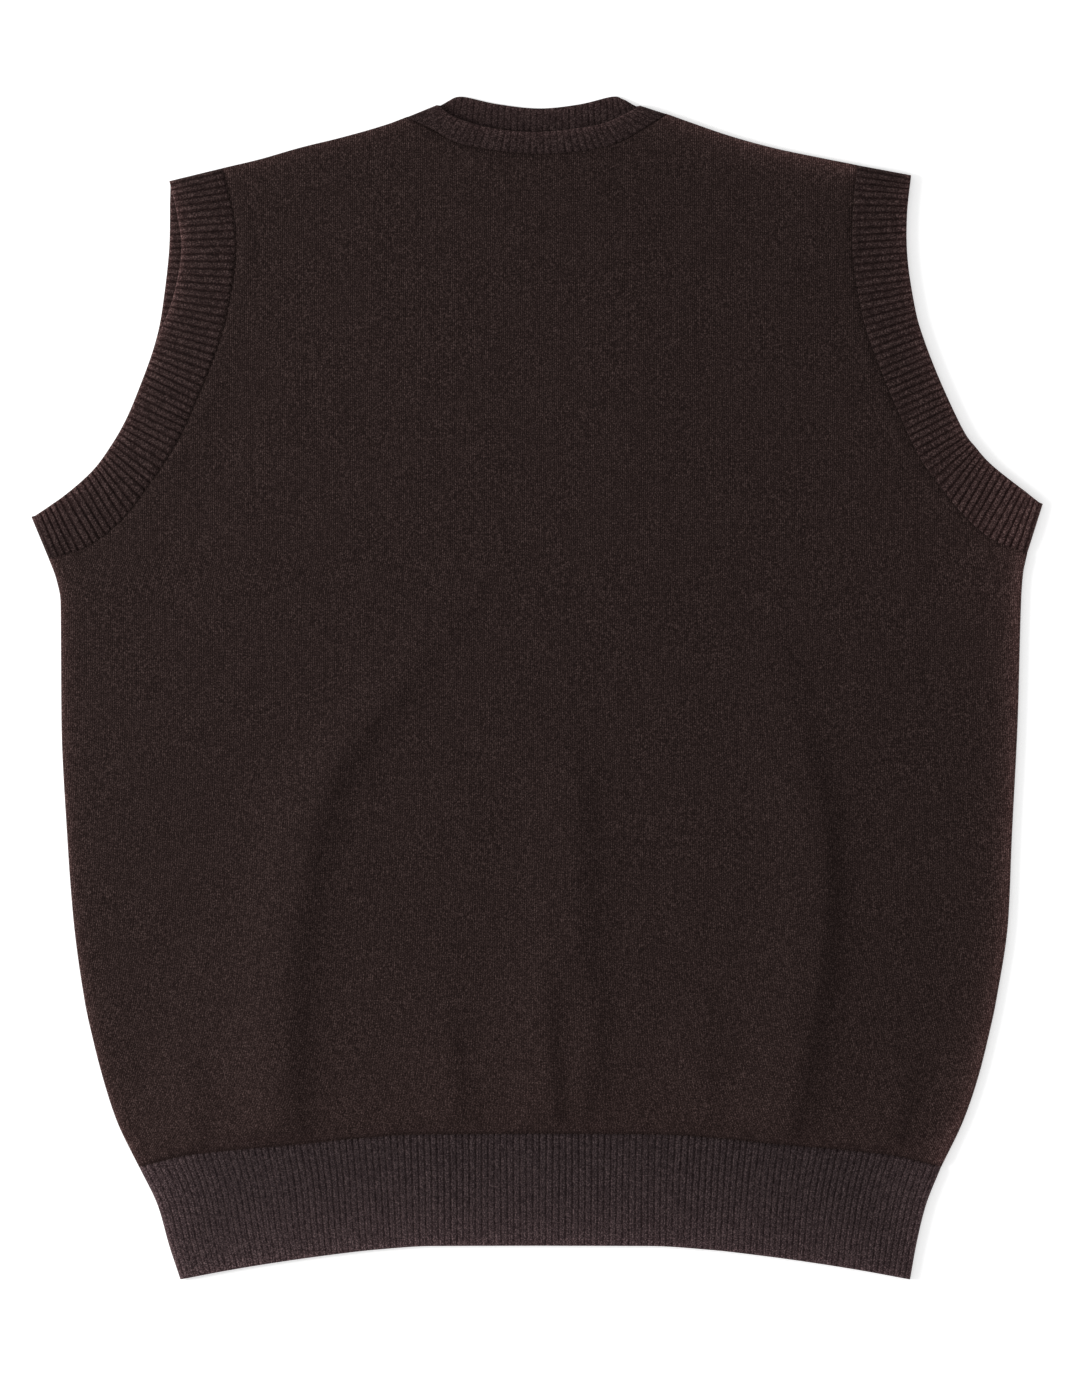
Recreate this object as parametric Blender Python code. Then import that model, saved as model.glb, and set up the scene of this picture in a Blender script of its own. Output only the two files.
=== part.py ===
"""Knitted sweater vest, laid flat with its front up: metres, +Z up, +Y towards the neck.

Each piece is a knitted wall of its own. The back pieces lie flat on the surface and the front
pieces lie on them. The armbands and the neckband are bands that run right round their opening.
"""
import math

import bmesh
import bpy
from mathutils import Vector

MM = 0.001

# Driving dimensions
JERSEY_WALL = 2.0 * MM
RIB_WALL = 2.2 * MM
LAYER_GAP = 0.6 * MM
SEAM_GAP = 0.3 * MM
RIM_WALL = 0.5 * MM
EDGE_ROUND = 5.0 * MM
RIB_RISE = 0.6 * MM
BAND_EDGE_DROP = 0.5 * MM

MID_HEIGHT = JERSEY_WALL + LAYER_GAP / 2
FRONT_INSIDE = JERSEY_WALL + LAYER_GAP
FRONT_OUTSIDE = FRONT_INSIDE + JERSEY_WALL
BAND_TOP = FRONT_INSIDE + RIB_WALL

HEM_RIBS = 124
ARMBAND_RIBS = 58
NECK_RIBS = 36

# Divisions of a panel up its side seam and armhole, and across each shoulder and the neckline.
# Each column is split again for the folds of the front.
SIDE_ROWS = 18
ARMHOLE_ROWS = 16
SHOULDER_COLUMNS = 5
NECK_COLUMNS = 12
FRONT_SPLITS = 3
BACK_SPLITS = 1
# Extra rows over the hem seam and under the shoulder, as parts of a row, and extra columns at
# each side, as shares of the width, where the edge is rounded
HEM_ROWS = (0.3, 0.6)
TOP_ROWS = (0.29, 0.09)
EDGE_COLUMNS = (0.003, 0.010)
# Shares of a panel's side over which its rows bend to the hem seam and to the shoulders
HEM_REACH = 0.53
SHOULDER_REACH = 0.32

BAND_TURN_STEPS = 5
HEM_COLUMNS = 24
TABLE_STEPS = 200
# Shares of a band's loop that each half takes, and each turn
FRONT_KEYS = 0.4
TURN_KEYS = 0.1
# Shares of the way across a band from its seam, and up the hem rib from its lower edge
BAND_SHARES = [0.0, 0.07, 0.93, 1.0]
BAND_INNER_SHARES = [0.0, 1.0]
HEM_LEVELS = [0.0, 0.03, 0.5, 1.0]
HEM_INNER_LEVELS = [0.0, 0.5, 1.0]

# Half widths and heights are in millimetres. Heights run up from the hem's lower corners and
# half widths run out from the centre line.
SIDE_TABLE = (
    # height, left half width, right half width
    (66.0, 232.0, 233.0),
    (93.0, 245.0, 246.0),
    (116.0, 252.5, 254.0),
    (139.0, 258.5, 260.0),
    (162.0, 263.5, 265.0),
    (209.0, 270.0, 272.0),
    (255.0, 273.5, 274.0),
    (325.0, 277.0, 277.5),
    (394.0, 277.5, 279.5),
    (407.0, 280.0, 280.5),
    (419.0, 284.5, 283.0),
)
HEM_SIDE_TABLE = (
    # share of the rib's height, left half width, right half width
    (0.0, 208.0, 215.0),
    (0.30, 214.5, 218.5),
    (0.65, 221.0, 224.0),
    (1.0, 232.0, 233.0),
)
HEM_EDGE_TABLE = (
    # share of the half width, lower edge height, seam height
    (0.0, 20.4, 85.3),
    (0.30, 20.2, 84.8),
    (0.45, 18.2, 82.6),
    (0.60, 14.6, 79.0),
    (0.76, 9.8, 75.8),
    (0.88, 5.6, 72.6),
    (1.0, 0.8, 66.0),
)
ARMHOLE_TABLE = (
    # left seam (half width, height), left free edge, left back edge's stand-out,
    # right seam (half width, height), right free edge
    (284.5, 419.0, 294.5, 443.0, 0.0, 283.0, 422.0, 292.0, 450.5),
    (262.5, 425.7, 277.5, 453.6, 0.0, 262.0, 430.5, 278.0, 460.5),
    (242.2, 441.4, 260.0, 468.6, 0.0, 245.5, 445.0, 262.0, 473.3),
    (225.3, 463.4, 249.0, 483.0, 0.0, 232.5, 461.0, 253.2, 483.1),
    (210.3, 486.6, 239.0, 500.5, 0.0, 220.0, 479.0, 245.6, 493.6),
    (199.2, 510.4, 229.0, 525.0, 0.0, 205.6, 510.4, 232.3, 522.0),
    (187.6, 539.4, 220.5, 548.3, 1.0, 194.5, 538.2, 222.0, 548.7),
    (180.7, 564.3, 212.6, 569.0, 5.2, 188.0, 558.5, 217.5, 566.0),
    (176.2, 596.8, 207.4, 596.2, 7.4, 182.6, 590.0, 213.5, 592.8),
    (178.2, 621.0, 209.8, 617.7, 4.4, 182.0, 617.0, 213.2, 617.7),
    (184.0, 645.0, 214.5, 637.6, 0.0, 184.7, 646.8, 215.6, 641.0),
)
SHOULDER_TABLE = (
    # share of the way from the neck to the armhole, left height, right height
    (0.0, 674.9, 676.7),
    (0.10, 670.8, 672.7),
    (0.35, 663.0, 663.2),
    (0.58, 656.9, 656.3),
    (0.80, 650.1, 651.2),
    (1.0, 645.0, 646.8),
)
NECK_TABLE = (
    # front seam (across, height), front free edge, back seam, back free edge
    (-76.5, 674.9, -59.5, 681.4, -76.5, 674.9, -59.5, 681.7),
    (-61.8, 668.0, -51.3, 675.9, -62.0, 672.3, -53.1, 684.0),
    (-47.9, 660.3, -41.5, 671.9, -48.5, 669.5, -45.0, 686.6),
    (-26.4, 656.0, -23.5, 667.6, -25.5, 666.8, -24.7, 682.4),
    (-2.0, 653.7, -1.5, 666.1, -1.0, 665.4, -0.3, 679.8),
    (22.9, 655.1, 20.0, 667.9, 23.0, 666.6, 22.9, 682.1),
    (43.2, 659.2, 36.3, 670.8, 44.0, 669.6, 42.2, 686.6),
    (59.5, 667.6, 47.3, 675.3, 58.5, 673.0, 49.0, 685.0),
    (73.5, 676.7, 58.5, 681.2, 73.5, 676.7, 58.5, 681.4),
)
FOLD_TABLE = (
    # rise, gentle flank on the left, steep flank on the right, and the crest from its lower end up
    # as pairs of height and place across
    (5.4, 24.0, 14.0, ((60.0, -147.0), (149.0, -148.0), (196.0, -144.0), (239.0, -137.0), (278.0, -128.0),
                       (317.0, -106.0), (352.0, -78.0), (392.0, -44.0), (410.0, -20.0))),
    (3.6, 24.0, 12.0, ((165.0, 23.0), (243.0, 21.0), (290.0, 19.0), (337.0, 15.0))),
    (5.0, 27.0, 9.0, ((60.0, 141.0), (118.0, 150.0), (157.0, 157.0), (196.0, 163.0), (227.0, 165.0),
                      (255.0, 164.0), (309.0, 153.0), (368.0, 138.0))),
    (2.8, 20.0, 8.0, ((60.0, -44.0), (87.0, -46.0), (170.0, -56.0))),
    (3.6, 17.0, 7.0, ((60.0, 8.0), (87.0, 7.0), (192.0, 1.0))),
    (2.6, 15.0, 8.0, ((100.0, 26.0), (118.0, 28.0), (176.0, 37.0))),
    (1.6, 18.0, 8.0, ((60.0, 97.0), (102.0, 96.0), (182.0, 94.0))),
    (2.6, 20.0, 8.0, ((60.0, 200.0), (99.0, 208.0), (135.0, 216.0))),
    (1.8, 16.0, 10.0, ((60.0, -196.0), (100.0, -200.0), (150.0, -204.0))),
)
# A fold dies away over a share of its length at the top, and over a set height at its lower end.
FOLD_FADE = 0.4
FOLD_TAIL = 0.1
FOLD_START = 15.0
# Fullness above the hem rib: its rise, the height of its peak, and where it ends near the sides
BLOUSE_RISE = 4.6
BLOUSE_PEAK = 48.0
BLOUSE_SIDES = (150.0, 235.0)
# Distances over which the front panel's rise starts from the hem seam and from a side seam
HEM_EASE = (0.0, 12.0)
SIDE_EASE = (3.0, 34.0)

CLOTH_BROWN = (0.026, 0.018, 0.017, 1.0)
RIB_BROWN = (0.036, 0.026, 0.025, 1.0)
KNIT_ROUGHNESS = 0.95


def zigzag(turns):
    """1 on each rib and 0 between two ribs."""
    return 1.0 - abs(2.0 * (turns % 1.0) - 1.0)


def lookup(table, column, at):
    """Read one column of a table at a key, along a smooth curve that never overshoots."""
    keys = [row[0] for row in table]
    values = [row[column] for row in table]
    last = len(keys) - 2
    span = max(0, min(last, sum(1 for key in keys[1:] if key <= at)))
    slopes = [(values[i + 1] - values[i]) / (keys[i + 1] - keys[i]) for i in range(len(keys) - 1)]

    def tangent(i):
        if i == 0:
            return slopes[0]
        if i == len(slopes):
            return slopes[-1]
        if slopes[i - 1] * slopes[i] <= 0.0:
            return 0.0
        return 2.0 * slopes[i - 1] * slopes[i] / (slopes[i - 1] + slopes[i])

    width = keys[span + 1] - keys[span]
    t = max(0.0, min(1.0, (at - keys[span]) / width))
    rise = values[span + 1] - values[span]
    start = tangent(span) * width
    end = tangent(span + 1) * width
    return values[span] + t * (start + t * (3 * rise - 2 * start - end + t * (start + end - 2 * rise)))


def through(table, column, share):
    """Read a column as a smooth curve through evenly spaced rows, share 0 to 1."""
    spans = len(table) - 1
    place = max(0.0, min(1.0, share)) * spans
    i = min(int(place), spans - 1)
    t = place - i
    value = [table[max(0, min(spans, i + k))][column] for k in (-1, 0, 1, 2)]
    start = (value[2] - value[0]) / 2
    end = (value[3] - value[1]) / 2
    rise = value[2] - value[1]
    return value[1] + t * (start + t * (3 * rise - 2 * start - end + t * (start + end - 2 * rise)))


def plan_point(table, column, share, sign=1.0):
    """A point of the plan, in metres, from two neighbouring columns of a table."""
    across = sign * through(table, column, share)
    return Vector((across, through(table, column + 1, share))) * MM


def smoothstep(low, high, value):
    t = max(0.0, min(1.0, (value - low) / (high - low)))
    return t * t * (3.0 - 2.0 * t)


def even_shares(seam, free, count):
    """Shares of a band's two edges at even distances along the middle between them."""
    middle = [(seam(i / TABLE_STEPS) + free(i / TABLE_STEPS)) / 2 for i in range(TABLE_STEPS + 1)]
    run = [0.0]
    for a, b in zip(middle, middle[1:]):
        run.append(run[-1] + (b - a).length)
    shares = []
    for k in range(count + 1):
        goal = run[-1] * k / count
        i = min(TABLE_STEPS - 1, sum(1 for length in run[1:] if length < goal))
        shares.append((i + (goal - run[i]) / (run[i + 1] - run[i])) / TABLE_STEPS)
    return shares


def on_line(points, share):
    """The point at a share of the way along evenly counted stations, straight between them."""
    place = max(0.0, min(1.0, share)) * (len(points) - 1)
    i = min(int(place), len(points) - 2)
    return points[i].lerp(points[i + 1], place - i)


def clear_of(points, free):
    """A seam line moved towards a band's free edge by the seam gap, square to each stretch."""
    moved = []
    for i, point in enumerate(points):
        normals = []
        for a, b in zip(points[max(0, i - 1):i + 1], points[max(1, i):i + 2]):
            square = Vector((a.y - b.y, b.x - a.x)).normalized()
            normals.append(square if square.dot(free[i] - point) > 0.0 else -square)
        square = sum(normals, Vector((0.0, 0.0))).normalized()
        moved.append(point + square * SEAM_GAP / square.dot(normals[0]))
    return moved


def band_edges(table, column, sign, count):
    """A band's seam line and free edge at stations shared with the panel that it is sewn to."""
    def seam(t):
        return plan_point(table, column, t, sign)

    def free(t):
        return plan_point(table, column + 2, t, sign)

    shares = even_shares(seam, free, count)
    return shares, [seam(t) for t in shares], [free(t) for t in shares]


ARMHOLE_SHARES = {}
ARMHOLE_SEAMS = {}
ARMHOLE_FREE = {}
for side_name, first_column, side_sign in (("left", 0, -1.0), ("right", 5, 1.0)):
    ARMHOLE_SHARES[side_name], ARMHOLE_SEAMS[side_name], ARMHOLE_FREE[side_name] = band_edges(
        ARMHOLE_TABLE, first_column, side_sign, ARMHOLE_ROWS)
NECK_SEAMS = {}
NECK_FREE = {}
for layer_name, first_column in (("front", 0), ("back", 4)):
    _, NECK_SEAMS[layer_name], NECK_FREE[layer_name] = band_edges(
        NECK_TABLE, first_column, 1.0, NECK_COLUMNS)


def side_point(side, share):
    """A point of the side seam, from the hem rib's top (0) to the underarm (1)."""
    column = 1 if side == "left" else 2
    sign = -1.0 if side == "left" else 1.0
    bottom = SIDE_TABLE[0][0]
    underarm = ARMHOLE_SEAMS[side][0].y / MM
    height = bottom + share * (underarm - bottom)
    stretched = bottom + share * (SIDE_TABLE[-1][0] - bottom)
    return Vector((sign * lookup(SIDE_TABLE, column, stretched), height)) * MM


def shoulder_point(side, share):
    """A point of the shoulder seam, from the neck (0) to the armhole (1)."""
    neck = NECK_SEAMS["front"][0 if side == "left" else -1]
    tip = ARMHOLE_SEAMS[side][-1]
    column = 1 if side == "left" else 2
    return Vector((neck.x + share * (tip.x - neck.x), lookup(SHOULDER_TABLE, column, share) * MM))


def edge_points(side):
    """One side of a panel, row by row: up the side seam, then up the armhole seam."""
    rows = [side_point(side, i / SIDE_ROWS) for i in range(SIDE_ROWS)]
    return rows + ARMHOLE_SEAMS[side]


def top_points(layer):
    """The top of a panel, column by column: shoulder, neckline, shoulder."""
    left = [shoulder_point("left", 1 - i / SHOULDER_COLUMNS) for i in range(SHOULDER_COLUMNS)]
    right = [shoulder_point("right", (i + 1) / SHOULDER_COLUMNS) for i in range(SHOULDER_COLUMNS)]
    return left + NECK_SEAMS[layer] + right


def hem_line(across, column):
    """The hem rib's lower edge (column 1) or its seam to the body (column 2)."""
    half_column = 1 if across < 0 else 2
    row = 0 if column == 1 else -1
    half = HEM_SIDE_TABLE[row][half_column] * MM
    return lookup(HEM_EDGE_TABLE, column, min(1.0, abs(across) / half)) * MM


def distance_to(line, point):
    """Shortest distance in plan from a point to an open run of straight stretches."""
    best = 1.0
    for a, b in zip(line, line[1:]):
        run = b - a
        share = max(0.0, min(1.0, (point - a).dot(run) / run.length_squared))
        best = min(best, (a + run * share - point).length)
    return best


SIDE_LINES = {side: [side_point(side, i / SIDE_ROWS) for i in range(SIDE_ROWS + 1)]
              for side in ("left", "right")}
SHOULDER_LINES = {side: [shoulder_point(side, i / SHOULDER_COLUMNS) for i in range(SHOULDER_COLUMNS + 1)]
                  for side in ("left", "right")}
SEWN_LINES = [*SIDE_LINES.values(), *SHOULDER_LINES.values()]


def sewn_edge_turn(distance):
    """How far a piece has turned down at an edge where front and back are sewn: 1 at the edge."""
    if distance >= EDGE_ROUND:
        return 0.0
    inward = max(0.0, distance / EDGE_ROUND)
    return 1.0 - math.sqrt(1.0 - (1.0 - inward) ** 2)


def fold_rise(x, y):
    """Height of the soft folds and of the fullness above the tight hem rib, in millimetres."""
    total = 0.0
    for rise, gentle, steep, crest in FOLD_TABLE:
        low = crest[0][0]
        top = crest[-1][0]
        start = top - FOLD_FADE * (top - low)
        end = top + FOLD_TAIL * (top - low)
        along = smoothstep(low - FOLD_START, low + FOLD_START, y) * (1.0 - smoothstep(start, end, y))
        away = x - lookup(crest, 1, y)
        reach = away / (gentle if away < 0.0 else steep)
        total += rise * along * math.exp(-reach * reach)
    share = max(0.0, (y - hem_line(x * MM, 2) / MM) / BLOUSE_PEAK)
    fullness = share * math.exp(1.0 - share) * (1.0 - smoothstep(*BLOUSE_SIDES, abs(x)))
    return total + BLOUSE_RISE * fullness


def loft(point):
    """Rise of the front panel over its lowest lie, eased off near its seams."""
    above_hem = (point.y - hem_line(point.x, 2)) / MM
    from_side = min(distance_to(line, point) for line in SIDE_LINES.values()) / MM
    rise = fold_rise(point.x / MM, point.y / MM)
    return rise * smoothstep(*HEM_EASE, above_hem) * smoothstep(*SIDE_EASE, from_side) * MM


def front_outside(point, turn):
    low = MID_HEIGHT + SEAM_GAP / 2 + RIM_WALL
    return FRONT_OUTSIDE + loft(point) - turn * (FRONT_OUTSIDE - low)


def front_inside(point, turn):
    low = MID_HEIGHT + SEAM_GAP / 2
    return FRONT_INSIDE + loft(point) - turn * (FRONT_INSIDE - low)


def back_inside(point, turn):
    high = MID_HEIGHT - SEAM_GAP / 2
    return JERSEY_WALL + turn * (high - JERSEY_WALL)


def back_outside(point, turn):
    high = MID_HEIGHT - SEAM_GAP / 2 - RIM_WALL
    return turn * high


def spread(count):
    """Even shares from 0 to 1 with closer ones at each end, where the edge turns."""
    rim = EDGE_COLUMNS[-1]
    inner = [rim + (1 - 2 * rim) * i / count for i in range(1, count)]
    return [0.0, *EDGE_COLUMNS] + inner + [1.0 - share for share in reversed(EDGE_COLUMNS)] + [1.0]


def panel_grid(layer, splits):
    """Plan points of a body panel in rows from the hem to the shoulders."""
    left = edge_points("left")
    right = edge_points("right")
    top = top_points(layer)
    width = top[-1].x - top[0].x
    shares = [(point.x - top[0].x) / width for point in top]
    columns = []
    for a, b in zip(shares, shares[1:]):
        columns += [a + (b - a) * i / splits for i in range(splits)]
    columns.append(1.0)
    rim = EDGE_COLUMNS[-1]
    columns = [0.0, *EDGE_COLUMNS] + [c for c in columns if rim * 1.5 < c < 1.0 - rim * 1.5]
    columns += [1.0 - share for share in reversed(EDGE_COLUMNS)] + [1.0]
    last = len(left) - 1
    heights = [0.0, *HEM_ROWS, *range(1, last), *(last - row for row in TOP_ROWS), last]
    grid = []
    for height in heights:
        share = height / last
        start = on_line(left, share)
        end = on_line(right, share)
        low = 1.0 - smoothstep(0.0, HEM_REACH, share)
        high = smoothstep(1.0 - SHOULDER_REACH, 1.0, share)
        row = []
        for u in columns:
            point = start.lerp(end, u)
            flat_hem = left[0].lerp(right[0], u)
            flat_top = left[-1].lerp(right[-1], u)
            hem_lift = hem_line(flat_hem.x, 2) - flat_hem.y
            top_x = flat_top.x
            i = max(0, min(len(top) - 2, sum(1 for s in shares[1:] if s <= u)))
            t = (top_x - top[i].x) / (top[i + 1].x - top[i].x)
            top_lift = top[i].y + t * (top[i + 1].y - top[i].y) - flat_top.y
            row.append(point + Vector((0.0, hem_lift * low + top_lift * high)))
        grid.append(row)
    return grid


def add_points(bm, rows):
    return [[bm.verts.new(co) for co in row] for row in rows]


def add_skin(bm, rows, closed):
    """Fill a grid of points with four-sided faces, round a loop if closed."""
    count = len(rows)
    for i in range(count if closed else count - 1):
        here = rows[i]
        ahead = rows[(i + 1) % count]
        for j in range(len(here) - 1):
            bm.faces.new((here[j], here[j + 1], ahead[j + 1], ahead[j]))


def lace_edges(bm, outer, outer_keys, inner, inner_keys):
    """Join two edges of a wall that have unlike numbers of points."""
    i = 0
    j = 0
    while i < len(outer) - 1 or j < len(inner) - 1:
        step_outer = j == len(inner) - 1
        if i < len(outer) - 1 and j < len(inner) - 1:
            step_outer = outer_keys[i + 1] <= inner_keys[j + 1]
        if step_outer:
            bm.faces.new((outer[i], outer[i + 1], inner[j]))
            i += 1
        else:
            bm.faces.new((outer[i], inner[j + 1], inner[j]))
            j += 1


def knitted_wall(name, outer, inner, closed=False):
    """A wall from its outer and inner faces: each is (keys along, shares across, rows)."""
    bm = bmesh.new()
    outer_keys, outer_shares, outer_rows = outer
    inner_keys, inner_shares, inner_rows = inner
    skin = add_points(bm, outer_rows)
    lining = add_points(bm, inner_rows)
    add_skin(bm, skin, closed)
    add_skin(bm, lining, closed)
    ends = ([0], [0]) if closed else ([], [])
    for edge in (0, -1):
        skin_edge = [row[edge] for row in skin] + [skin[k][edge] for k in ends[0]]
        lining_edge = [row[edge] for row in lining] + [lining[k][edge] for k in ends[1]]
        skin_keys = outer_keys + ([1.0] if closed else [])
        lining_keys = inner_keys + ([1.0] if closed else [])
        lace_edges(bm, skin_edge, skin_keys, lining_edge, lining_keys)
    if not closed:
        lace_edges(bm, skin[0], outer_shares, lining[0], inner_shares)
        lace_edges(bm, skin[-1], outer_shares, lining[-1], inner_shares)
    bmesh.ops.recalc_face_normals(bm, faces=bm.faces)
    if bm.calc_volume(signed=True) < 0.0:
        bmesh.ops.reverse_faces(bm, faces=bm.faces)
    mesh = bpy.data.meshes.new(name)
    bm.to_mesh(mesh)
    bm.free()
    mesh.shade_smooth()
    mesh.set_sharp_from_angle(angle=math.radians(40.0))
    return bpy.data.objects.new(name, mesh)


def body_panel(name, layer, splits):
    """Front or back panel: the wall between its two faces, turned down along the sewn edges."""
    grid = panel_grid(layer, splits)
    outside, inside = (front_outside, front_inside) if layer == "front" else (back_outside, back_inside)
    skin = []
    lining = []
    for row in grid:
        turns = [sewn_edge_turn(min(distance_to(line, p) for line in SEWN_LINES)) for p in row]
        skin.append([Vector((p.x, p.y, outside(p, turn))) for p, turn in zip(row, turns)])
        lining.append([Vector((p.x, p.y, inside(p, turn))) for p, turn in zip(row, turns)])
    along = [i / (len(grid) - 1) for i in range(len(grid))]
    across = [i / (len(grid[0]) - 1) for i in range(len(grid[0]))]
    return knitted_wall(name, (along, across, skin), (along, across, lining))


def rib_across(u, level):
    """Where a rib is across the hem at a share of the rib's height. Ribs lean most at the sides."""
    seam_left, seam_right = HEM_SIDE_TABLE[-1][1:]
    drawn_left = seam_left - lookup(HEM_SIDE_TABLE, 1, level)
    drawn_right = seam_right - lookup(HEM_SIDE_TABLE, 2, level)
    lean = drawn_left * max(0.0, 1.0 - 2.0 * u) ** 2 - drawn_right * max(0.0, 2.0 * u - 1.0) ** 2
    return (seam_right * u - seam_left * (1.0 - u) + lean) * MM


def hem_points(shares, levels, seam_height, surface):
    """Plan and height of one face of a hem rib, a section for each share across it."""
    rows = []
    for u in shares:
        low = hem_line(rib_across(u, 0.0), 1)
        seam = seam_height(rib_across(u, 1.0)) - SEAM_GAP
        row = []
        for level in levels:
            x = rib_across(u, level)
            y = low + level * (seam - low)
            edge = min(x - rib_across(0.0, level), rib_across(1.0, level) - x)
            row.append(Vector((x, y, surface(u, sewn_edge_turn(edge)))))
        rows.append(row)
    return rows


def panel_hem_seam(grid):
    """The body's lower edge as the hem rib meets it, straight between the panel's columns."""
    edge = grid[0]

    def height(x):
        i = max(0, min(len(edge) - 2, sum(1 for p in edge[1:] if p.x <= x)))
        t = (x - edge[i].x) / (edge[i + 1].x - edge[i].x)
        return edge[i].y + t * (edge[i + 1].y - edge[i].y)

    return height


def hem_rib(name, layer, seam_height):
    """Hem rib of one layer. The front one stands in ribs, and the back one rests flat."""
    coarse = spread(HEM_COLUMNS)
    if layer == "back":
        def outside(u, turn):
            return turn * (MID_HEIGHT - SEAM_GAP / 2 - RIM_WALL)

        def inside(u, turn):
            return RIB_WALL - turn * (RIB_WALL - MID_HEIGHT + SEAM_GAP / 2)

        fine = coarse
    else:
        def outside(u, turn):
            low = MID_HEIGHT + SEAM_GAP / 2 + RIM_WALL
            return BAND_TOP - turn * (BAND_TOP - low) + RIB_RISE * zigzag(u * HEM_RIBS) * (1.0 - turn)

        def inside(u, turn):
            return FRONT_INSIDE - turn * (FRONT_INSIDE - MID_HEIGHT - SEAM_GAP / 2)

        fine = [i / (2 * HEM_RIBS) for i in range(2 * HEM_RIBS + 1)]
    skin = hem_points(fine, HEM_LEVELS, seam_height, outside)
    if layer == "front":
        for row in skin:
            row[0].z -= BAND_EDGE_DROP
    lining = hem_points(coarse, HEM_INNER_LEVELS, seam_height, inside)
    return knitted_wall(name, (fine, HEM_LEVELS, skin), (coarse, HEM_INNER_LEVELS, lining))


def band_loop(front, back, front_steps, back_steps):
    """Stations round a band: front half, turn, back half, turn. Each station has its key round the
    loop, seam and free edge in plan, way out of the turn, angle about the turn, and half."""
    back_start = FRONT_KEYS + TURN_KEYS
    back_end = back_start + FRONT_KEYS
    loop = []
    for i in range(front_steps + 1):
        t = i / front_steps
        loop.append((FRONT_KEYS * t, *front(t), 90.0, "front"))
    for i in range(1, BAND_TURN_STEPS):
        w = i / BAND_TURN_STEPS
        half = front if w < 0.5 else back
        loop.append((FRONT_KEYS + TURN_KEYS * w, *half(1.0), 90.0 - 180.0 * w, "turn"))
    for i in range(back_steps + 1):
        t = 1.0 - i / back_steps
        loop.append((back_end - FRONT_KEYS * t, *back(t), -90.0, "back"))
    for i in range(1, BAND_TURN_STEPS):
        w = i / BAND_TURN_STEPS
        half = back if w < 0.5 else front
        loop.append((back_end + TURN_KEYS * w, *half(0.0), -90.0 - 180.0 * w, "turn"))
    return loop


def band_sections(loop, radius, shares, lift):
    """Sections across a band. At a turn the wall swings round its middle height."""
    rows = []
    for key, seam, free, out, angle, part in loop:
        swing = abs(math.cos(math.radians(angle))) * radius
        height = BAND_TOP / 2 + math.sin(math.radians(angle)) * radius
        row = []
        for share in shares:
            flat = seam.lerp(free, share) + out * swing
            row.append(Vector((flat.x, flat.y, height + lift(part, key, share))))
        rows.append(row)
    return rows


def pulled_in(half, steps, depth):
    """A half of a band, drawn in at its ends so that the turn reaches the garment's edge."""
    step = 1.0 / steps
    low = (half(0.0)[0] - half(step)[0]).normalized()
    high = (half(1.0)[0] - half(1.0 - step)[0]).normalized()

    def points(t):
        seam, free = half(t)
        at_low = max(0.0, 1.0 - t * steps)
        at_high = max(0.0, 1.0 - (1.0 - t) * steps)
        inset = (low * at_low + high * at_high) * depth
        return seam - inset, free - inset, low if t < 0.5 else high

    return points


def band(name, halves, ribs, back_ribs, steps):
    """A ribbed band that runs round its opening, laid flat with a turn at each end. halves gives
    the seam line and free edge of its front and of its back, at the panel's stations."""
    outer_radius = BAND_TOP / 2
    inner_radius = LAYER_GAP / 2

    def half_at(seam_line, free_line):
        return lambda t: (on_line(seam_line, t), on_line(free_line, t))

    front, back = (pulled_in(half_at(*lines), steps, outer_radius) for lines in halves)

    def skin_lift(part, key, share):
        if part != "front":
            return 0.0
        edge = BAND_EDGE_DROP if share in (0.0, 1.0) else 0.0
        return RIB_RISE * zigzag(key / FRONT_KEYS * ribs) - edge

    def lining_lift(part, key, share):
        if part != "back" or not back_ribs:
            return 0.0
        back_end = 2.0 * FRONT_KEYS + TURN_KEYS
        return -RIB_RISE / 2 * zigzag((back_end - key) / FRONT_KEYS * back_ribs)

    skin_loop = band_loop(front, back, 2 * ribs, steps)
    lining_loop = band_loop(front, back, steps, 2 * back_ribs or steps)
    skin = band_sections(skin_loop, outer_radius, BAND_SHARES, skin_lift)
    lining = band_sections(lining_loop, inner_radius, BAND_INNER_SHARES, lining_lift)
    return knitted_wall(name, ([station[0] for station in skin_loop], BAND_SHARES, skin),
                        ([station[0] for station in lining_loop], BAND_INNER_SHARES, lining), closed=True)


def armband(side):
    """Armband. Its inside is hidden, and the left one's back half stands out past its front."""
    free = ARMHOLE_FREE[side]
    seam = clear_of(ARMHOLE_SEAMS[side], free)
    back_free = free
    if side == "left":
        out = [max(0.0, through(ARMHOLE_TABLE, 4, share)) * MM for share in ARMHOLE_SHARES[side]]
        back_free = [edge + (edge - sewn).normalized() * far
                     for edge, sewn, far in zip(free, seam, out)]
    return band(side + "_armband", ((seam, free), (seam, back_free)), ARMBAND_RIBS, 0, ARMHOLE_ROWS)


def neckband():
    """Neckband. The inside of its higher back half shows above the front, so it is ribbed too."""
    halves = []
    for layer in ("front", "back"):
        free = NECK_FREE[layer]
        halves.append((clear_of(NECK_SEAMS[layer], free), free))
    return band("neckband", halves, NECK_RIBS, NECK_RIBS, NECK_COLUMNS)


def knit_material(name, colour):
    material = bpy.data.materials.new(name)
    material.use_nodes = True
    shader = material.node_tree.nodes["Principled BSDF"]
    shader.inputs["Base Color"].default_value = colour
    shader.inputs["Roughness"].default_value = KNIT_ROUGHNESS
    shader.inputs["Metallic"].default_value = 0.0
    return material


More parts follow.
